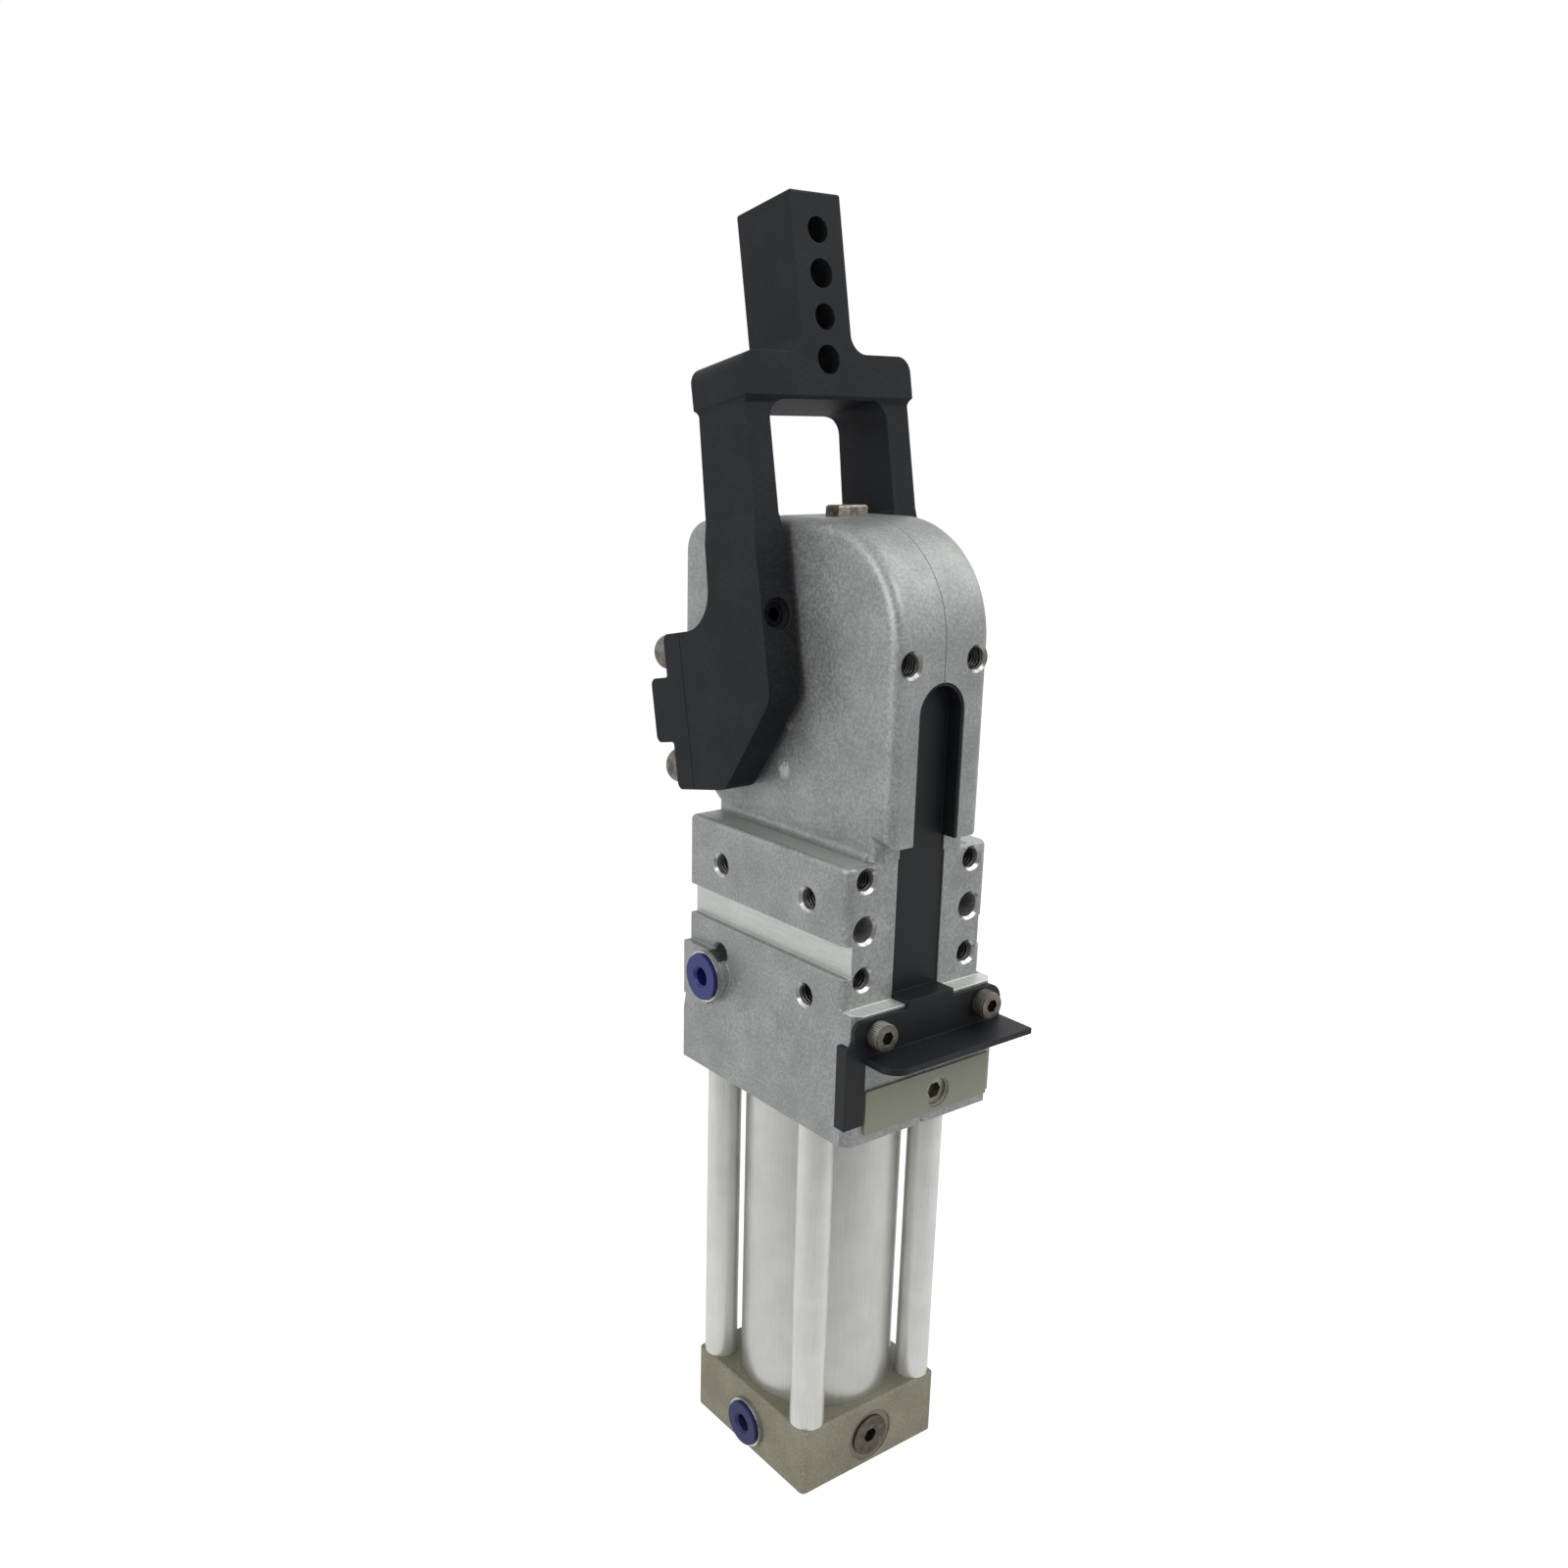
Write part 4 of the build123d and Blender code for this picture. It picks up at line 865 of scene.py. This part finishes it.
@dataclass
class ClampBody:
    """Open holes of the body halves; sizes in millimetres."""

    finishes: Finishes
    side: float = 30.0
    front: float = 41.5
    head_front: float = 47.0
    half_pattern: float = 22.5
    side_up: tuple[float, float] = (216.5, 184.5)
    rails_up: tuple[float, float] = (226.0, 194.0)
    dowels_up: float = 210.0
    head_half: float = 13.5
    head_up: float = 291.6

    def rows(self) -> list[HoleRow]:
        """Lists the rows of open holes."""
        high, low = self.side_up
        both = (-self.half_pattern, self.half_pattern)
        left, right, ahead = (-1, 0, 0), (1, 0, 0), (0, -1, 0)
        rails = grid(both, (-self.front,), self.rails_up)
        dowels = grid(both, (-self.front,), (self.dowels_up,))
        head = grid((-self.head_half, self.head_half), (-self.head_front,), (self.head_up,))
        return [
            HoleRow("side_left_upper", grid((-self.side,), both, (high,)), left, 3.4 * MM, 15 * MM),
            HoleRow("side_left_lower", grid((-self.side,), both[:1], (low,)), left, 3.4 * MM, 13 * MM),
            HoleRow("side_right_upper", grid((self.side,), both, (high,)), right, 3.4 * MM, 15 * MM),
            HoleRow("side_right_lower", grid((self.side,), both, (low,)), right, 3.4 * MM, 13 * MM),
            HoleRow("rail_screw_holes", rails, ahead, 3.4 * MM, 12 * MM),
            HoleRow("rail_dowel_holes", dowels, ahead, 4.0 * MM, 12 * MM, threaded=False),
            HoleRow("head_screw_holes", head, ahead, 3.5 * MM, 10 * MM, rim=Slot.SCREW),
        ]

    def build(self) -> None:
        """Dresses every row of holes."""
        dressing = HoleDressing(self.finishes)
        for row in self.rows():
            dressing.build(row)


@dataclass
class ScrewHeads:
    """Knurled bands round the slot cover's screw heads; their places are in millimetres."""

    finishes: Finishes
    radius: float = 4.25 * MM
    height: float = 4.0 * MM
    ridge: float = 0.32 * MM
    ridges: int = 36
    half_apart: float = 22.8
    seat: float = 49.0
    middle: float = 2.4
    up: float = 179.0

    def build(self) -> None:
        """Makes the knurled bands."""
        tree = GeometryTree(
            "screw_knurls",
            {
                "Radius": ("NodeSocketFloat", self.radius),
                "Height": ("NodeSocketFloat", self.height),
                "Ridges": ("NodeSocketInt", self.ridges),
            },
        )
        round_head = {"Resolution": 64, "Radius": tree.given("Radius")}
        ring = tree.node("GeometryNodeCurvePrimitiveCircle", None, round_head)
        count = {0: ring.outputs[0], "Count": tree.given("Ridges")}
        marks = tree.node("GeometryNodeCurveToPoints", None, count)
        ridge = tree.node(
            "GeometryNodeMeshCylinder",
            {"fill_type": "NGON"},
            {"Vertices": 4, "Radius": self.ridge, "Depth": tree.given("Height")},
        )
        upright = tree.node(
            "GeometryNodeInstanceOnPoints",
            None,
            {"Points": marks.outputs[0], "Instance": ridge.outputs[0]},
        )
        steel = self.finishes.made[Slot.SCREW]
        tree.repeat(upright.outputs[0], Vector((0, -1, 0)).to_track_quat("Z", "Y").to_euler(), steel)
        spots = grid((-self.half_apart, self.half_apart), (-(self.seat + self.middle),), (self.up,))
        knurls = tree.bake("cover_screw_knurls", spots, steel)
        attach(knurls, "body")
        LOG.info("cover screw knurls: %d faces", len(knurls.data.polygons))


@dataclass(frozen=True)
class Lamp:
    """Square soft lamp that faces the part: metres, and its power in watts."""

    name: str
    place: Place
    power: float
    size: float
    aim: Place = (0.0, 0.0, 0.2)

    def build(self) -> None:
        """Adds the lamp."""
        data = bpy.data.lights.new(self.name, "AREA")
        data.energy = self.power
        data.size = self.size
        item = bpy.data.objects.new(self.name, data)
        item.location = self.place
        item.rotation_euler = (Vector(self.aim) - Vector(self.place)).to_track_quat("-Z", "Y").to_euler()
        bpy.context.scene.collection.objects.link(item)


LAMPS = (
    Lamp("front_lamp", (0.1, -1.1, 1.3), 8.0, 0.8),
    Lamp("right_lamp", (1.0, -0.3, 1.1), 4.0, 0.9),
    Lamp("left_lamp", (-1.4, -0.1, 0.7), 10.0, 1.0),
)


@dataclass
class Studio:
    """Pale floor, soft lamps, white surround and the camera at the photo's angle.

    The camera's frame, focal length and centre are in pixels of the photo, its angles in degrees.
    """

    focal: float = 1444.15
    frame: float = 1600.0
    centre: tuple[float, float] = (699.24, 851.45)
    turn: float = -35.29
    lift: float = 15.60
    roll: float = 0.375
    place: Place = (-0.30407, -0.34371, 0.35474)
    sensor: float = 36.0
    sky: float = 0.42
    behind: float = 0.3
    glow: float = 1.5
    floor_side: float = 0.95
    floor_front_shade: float = 0.42
    floor_size: float = 6.0
    floor_share: float = 0.6
    paint: float = 0.86

    def camera(self) -> None:
        """Makes the camera and sets it."""
        data = bpy.data.cameras.new("camera")
        data.sensor_width = self.sensor
        data.lens = self.focal / self.frame * data.sensor_width
        data.shift_x = (self.frame / 2 - self.centre[0]) / self.frame
        data.shift_y = (self.centre[1] - self.frame / 2) / self.frame
        data.clip_start = 0.01
        yaw, pitch = math.radians(self.turn), math.radians(self.lift)
        back = Vector((math.sin(yaw) * math.cos(pitch), -math.cos(yaw) * math.cos(pitch), math.sin(pitch)))
        right = Vector((0, 0, 1)).cross(back).normalized()
        up = back.cross(right)
        lean = math.radians(self.roll)
        across = right * math.cos(lean) + up * math.sin(lean)
        upward = up * math.cos(lean) - right * math.sin(lean)
        item = bpy.data.objects.new("camera", data)
        facing = Matrix((across, upward, back)).transposed().to_4x4()
        item.matrix_world = Matrix.Translation(self.place) @ facing
        bpy.context.scene.collection.objects.link(item)
        bpy.context.scene.camera = item

    def sees_white(self, graph: ShaderGraph) -> tuple[Wire, Wire]:
        """Gives 1 for camera and transmission rays, and 1 for glossy rays."""
        path = graph.node("ShaderNodeLightPath")
        camera, through, glossy = (
            Wire(graph, path.outputs[f"Is {ray} Ray"]) for ray in ("Camera", "Transmission", "Glossy")
        )
        return camera.most(through), glossy

    def world(self) -> None:
        """Makes a soft surround that shows as white and is dimmer behind the camera."""
        world = bpy.data.worlds.new("surround")
        bpy.context.scene.world = world
        graph = ShaderGraph(world)
        straight, glossy = self.sees_white(graph)
        back = Vector(self.place) - Vector((0.0, 0.0, 0.2))
        facing = graph.along(tuple(back.normalized()))
        dim = 1.0 - (1.0 - facing.below(0.8, 0.5)) * (1.0 - self.behind)
        level = straight + (1.0 - straight) * (glossy * dim + (1.0 - glossy) * self.sky)
        white = {"Color": (1.0, 1.0, 1.0, 1.0), "Strength": level}
        light = graph.node("ShaderNodeBackground", None, white)
        graph.node("ShaderNodeOutputWorld", None, {0: Wire(graph, light.outputs[0])})

    def floor(self) -> None:
        """Makes the pale floor, which shows as white where no shadow falls; in reflections it glows, dimmer
        on the camera's side, which is painted shade.
        """
        mesh = bpy.data.meshes.new("floor")
        shape = bmesh.new()
        bmesh.ops.create_grid(shape, x_segments=1, y_segments=1, size=self.floor_size)
        shape.to_mesh(mesh)
        shape.free()
        item = bpy.data.objects.new("floor", mesh)
        bpy.context.scene.collection.objects.link(item)
        graph = ShaderGraph(bpy.data.materials.new("pale_floor"))
        straight, glossy = self.sees_white(graph)
        paint = graph.node("ShaderNodeBsdfDiffuse", None, {"Color": (self.paint,) * 3})
        # The floor's glow seen in reflections is dimmer on the camera's side: painted shade.
        front = Vector((self.place[0], self.place[1], 0.0)).normalized()
        near = graph.along(tuple(front)).below(0.16, 0.32)
        mirrored = self.floor_front_shade + near * (self.floor_side - self.floor_front_shade)
        level = straight * self.glow + (1.0 - straight) * mirrored
        glow = graph.node("ShaderNodeEmission", None, {"Strength": level})
        share = straight * self.floor_share + (1.0 - straight) * glossy
        lit = {0: share, 1: Wire(graph, paint.outputs[0]), 2: Wire(graph, glow.outputs[0])}
        mix = graph.node("ShaderNodeMixShader", None, lit)
        graph.node("ShaderNodeOutputMaterial", None, {0: Wire(graph, mix.outputs[0])})
        mesh.materials.append(graph.holder)

    def build(self) -> None:
        """Builds the whole studio."""
        bpy.context.scene.view_settings.view_transform = "Standard"
        self.world()
        self.floor()
        for lamp in LAMPS:
            lamp.build()
        self.camera()


def main() -> None:
    """Builds the dressed part in order."""
    logging.basicConfig(level=logging.INFO, format="%(message)s")
    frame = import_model()
    finishes = Finishes()
    finishes.dress_nodes(frame)
    LOG.info("finishes: %d", len(finishes.made))
    ClampBody(finishes).build()
    ScrewHeads(finishes).build()
    Studio().build()


if __name__ == "__main__":
    main()
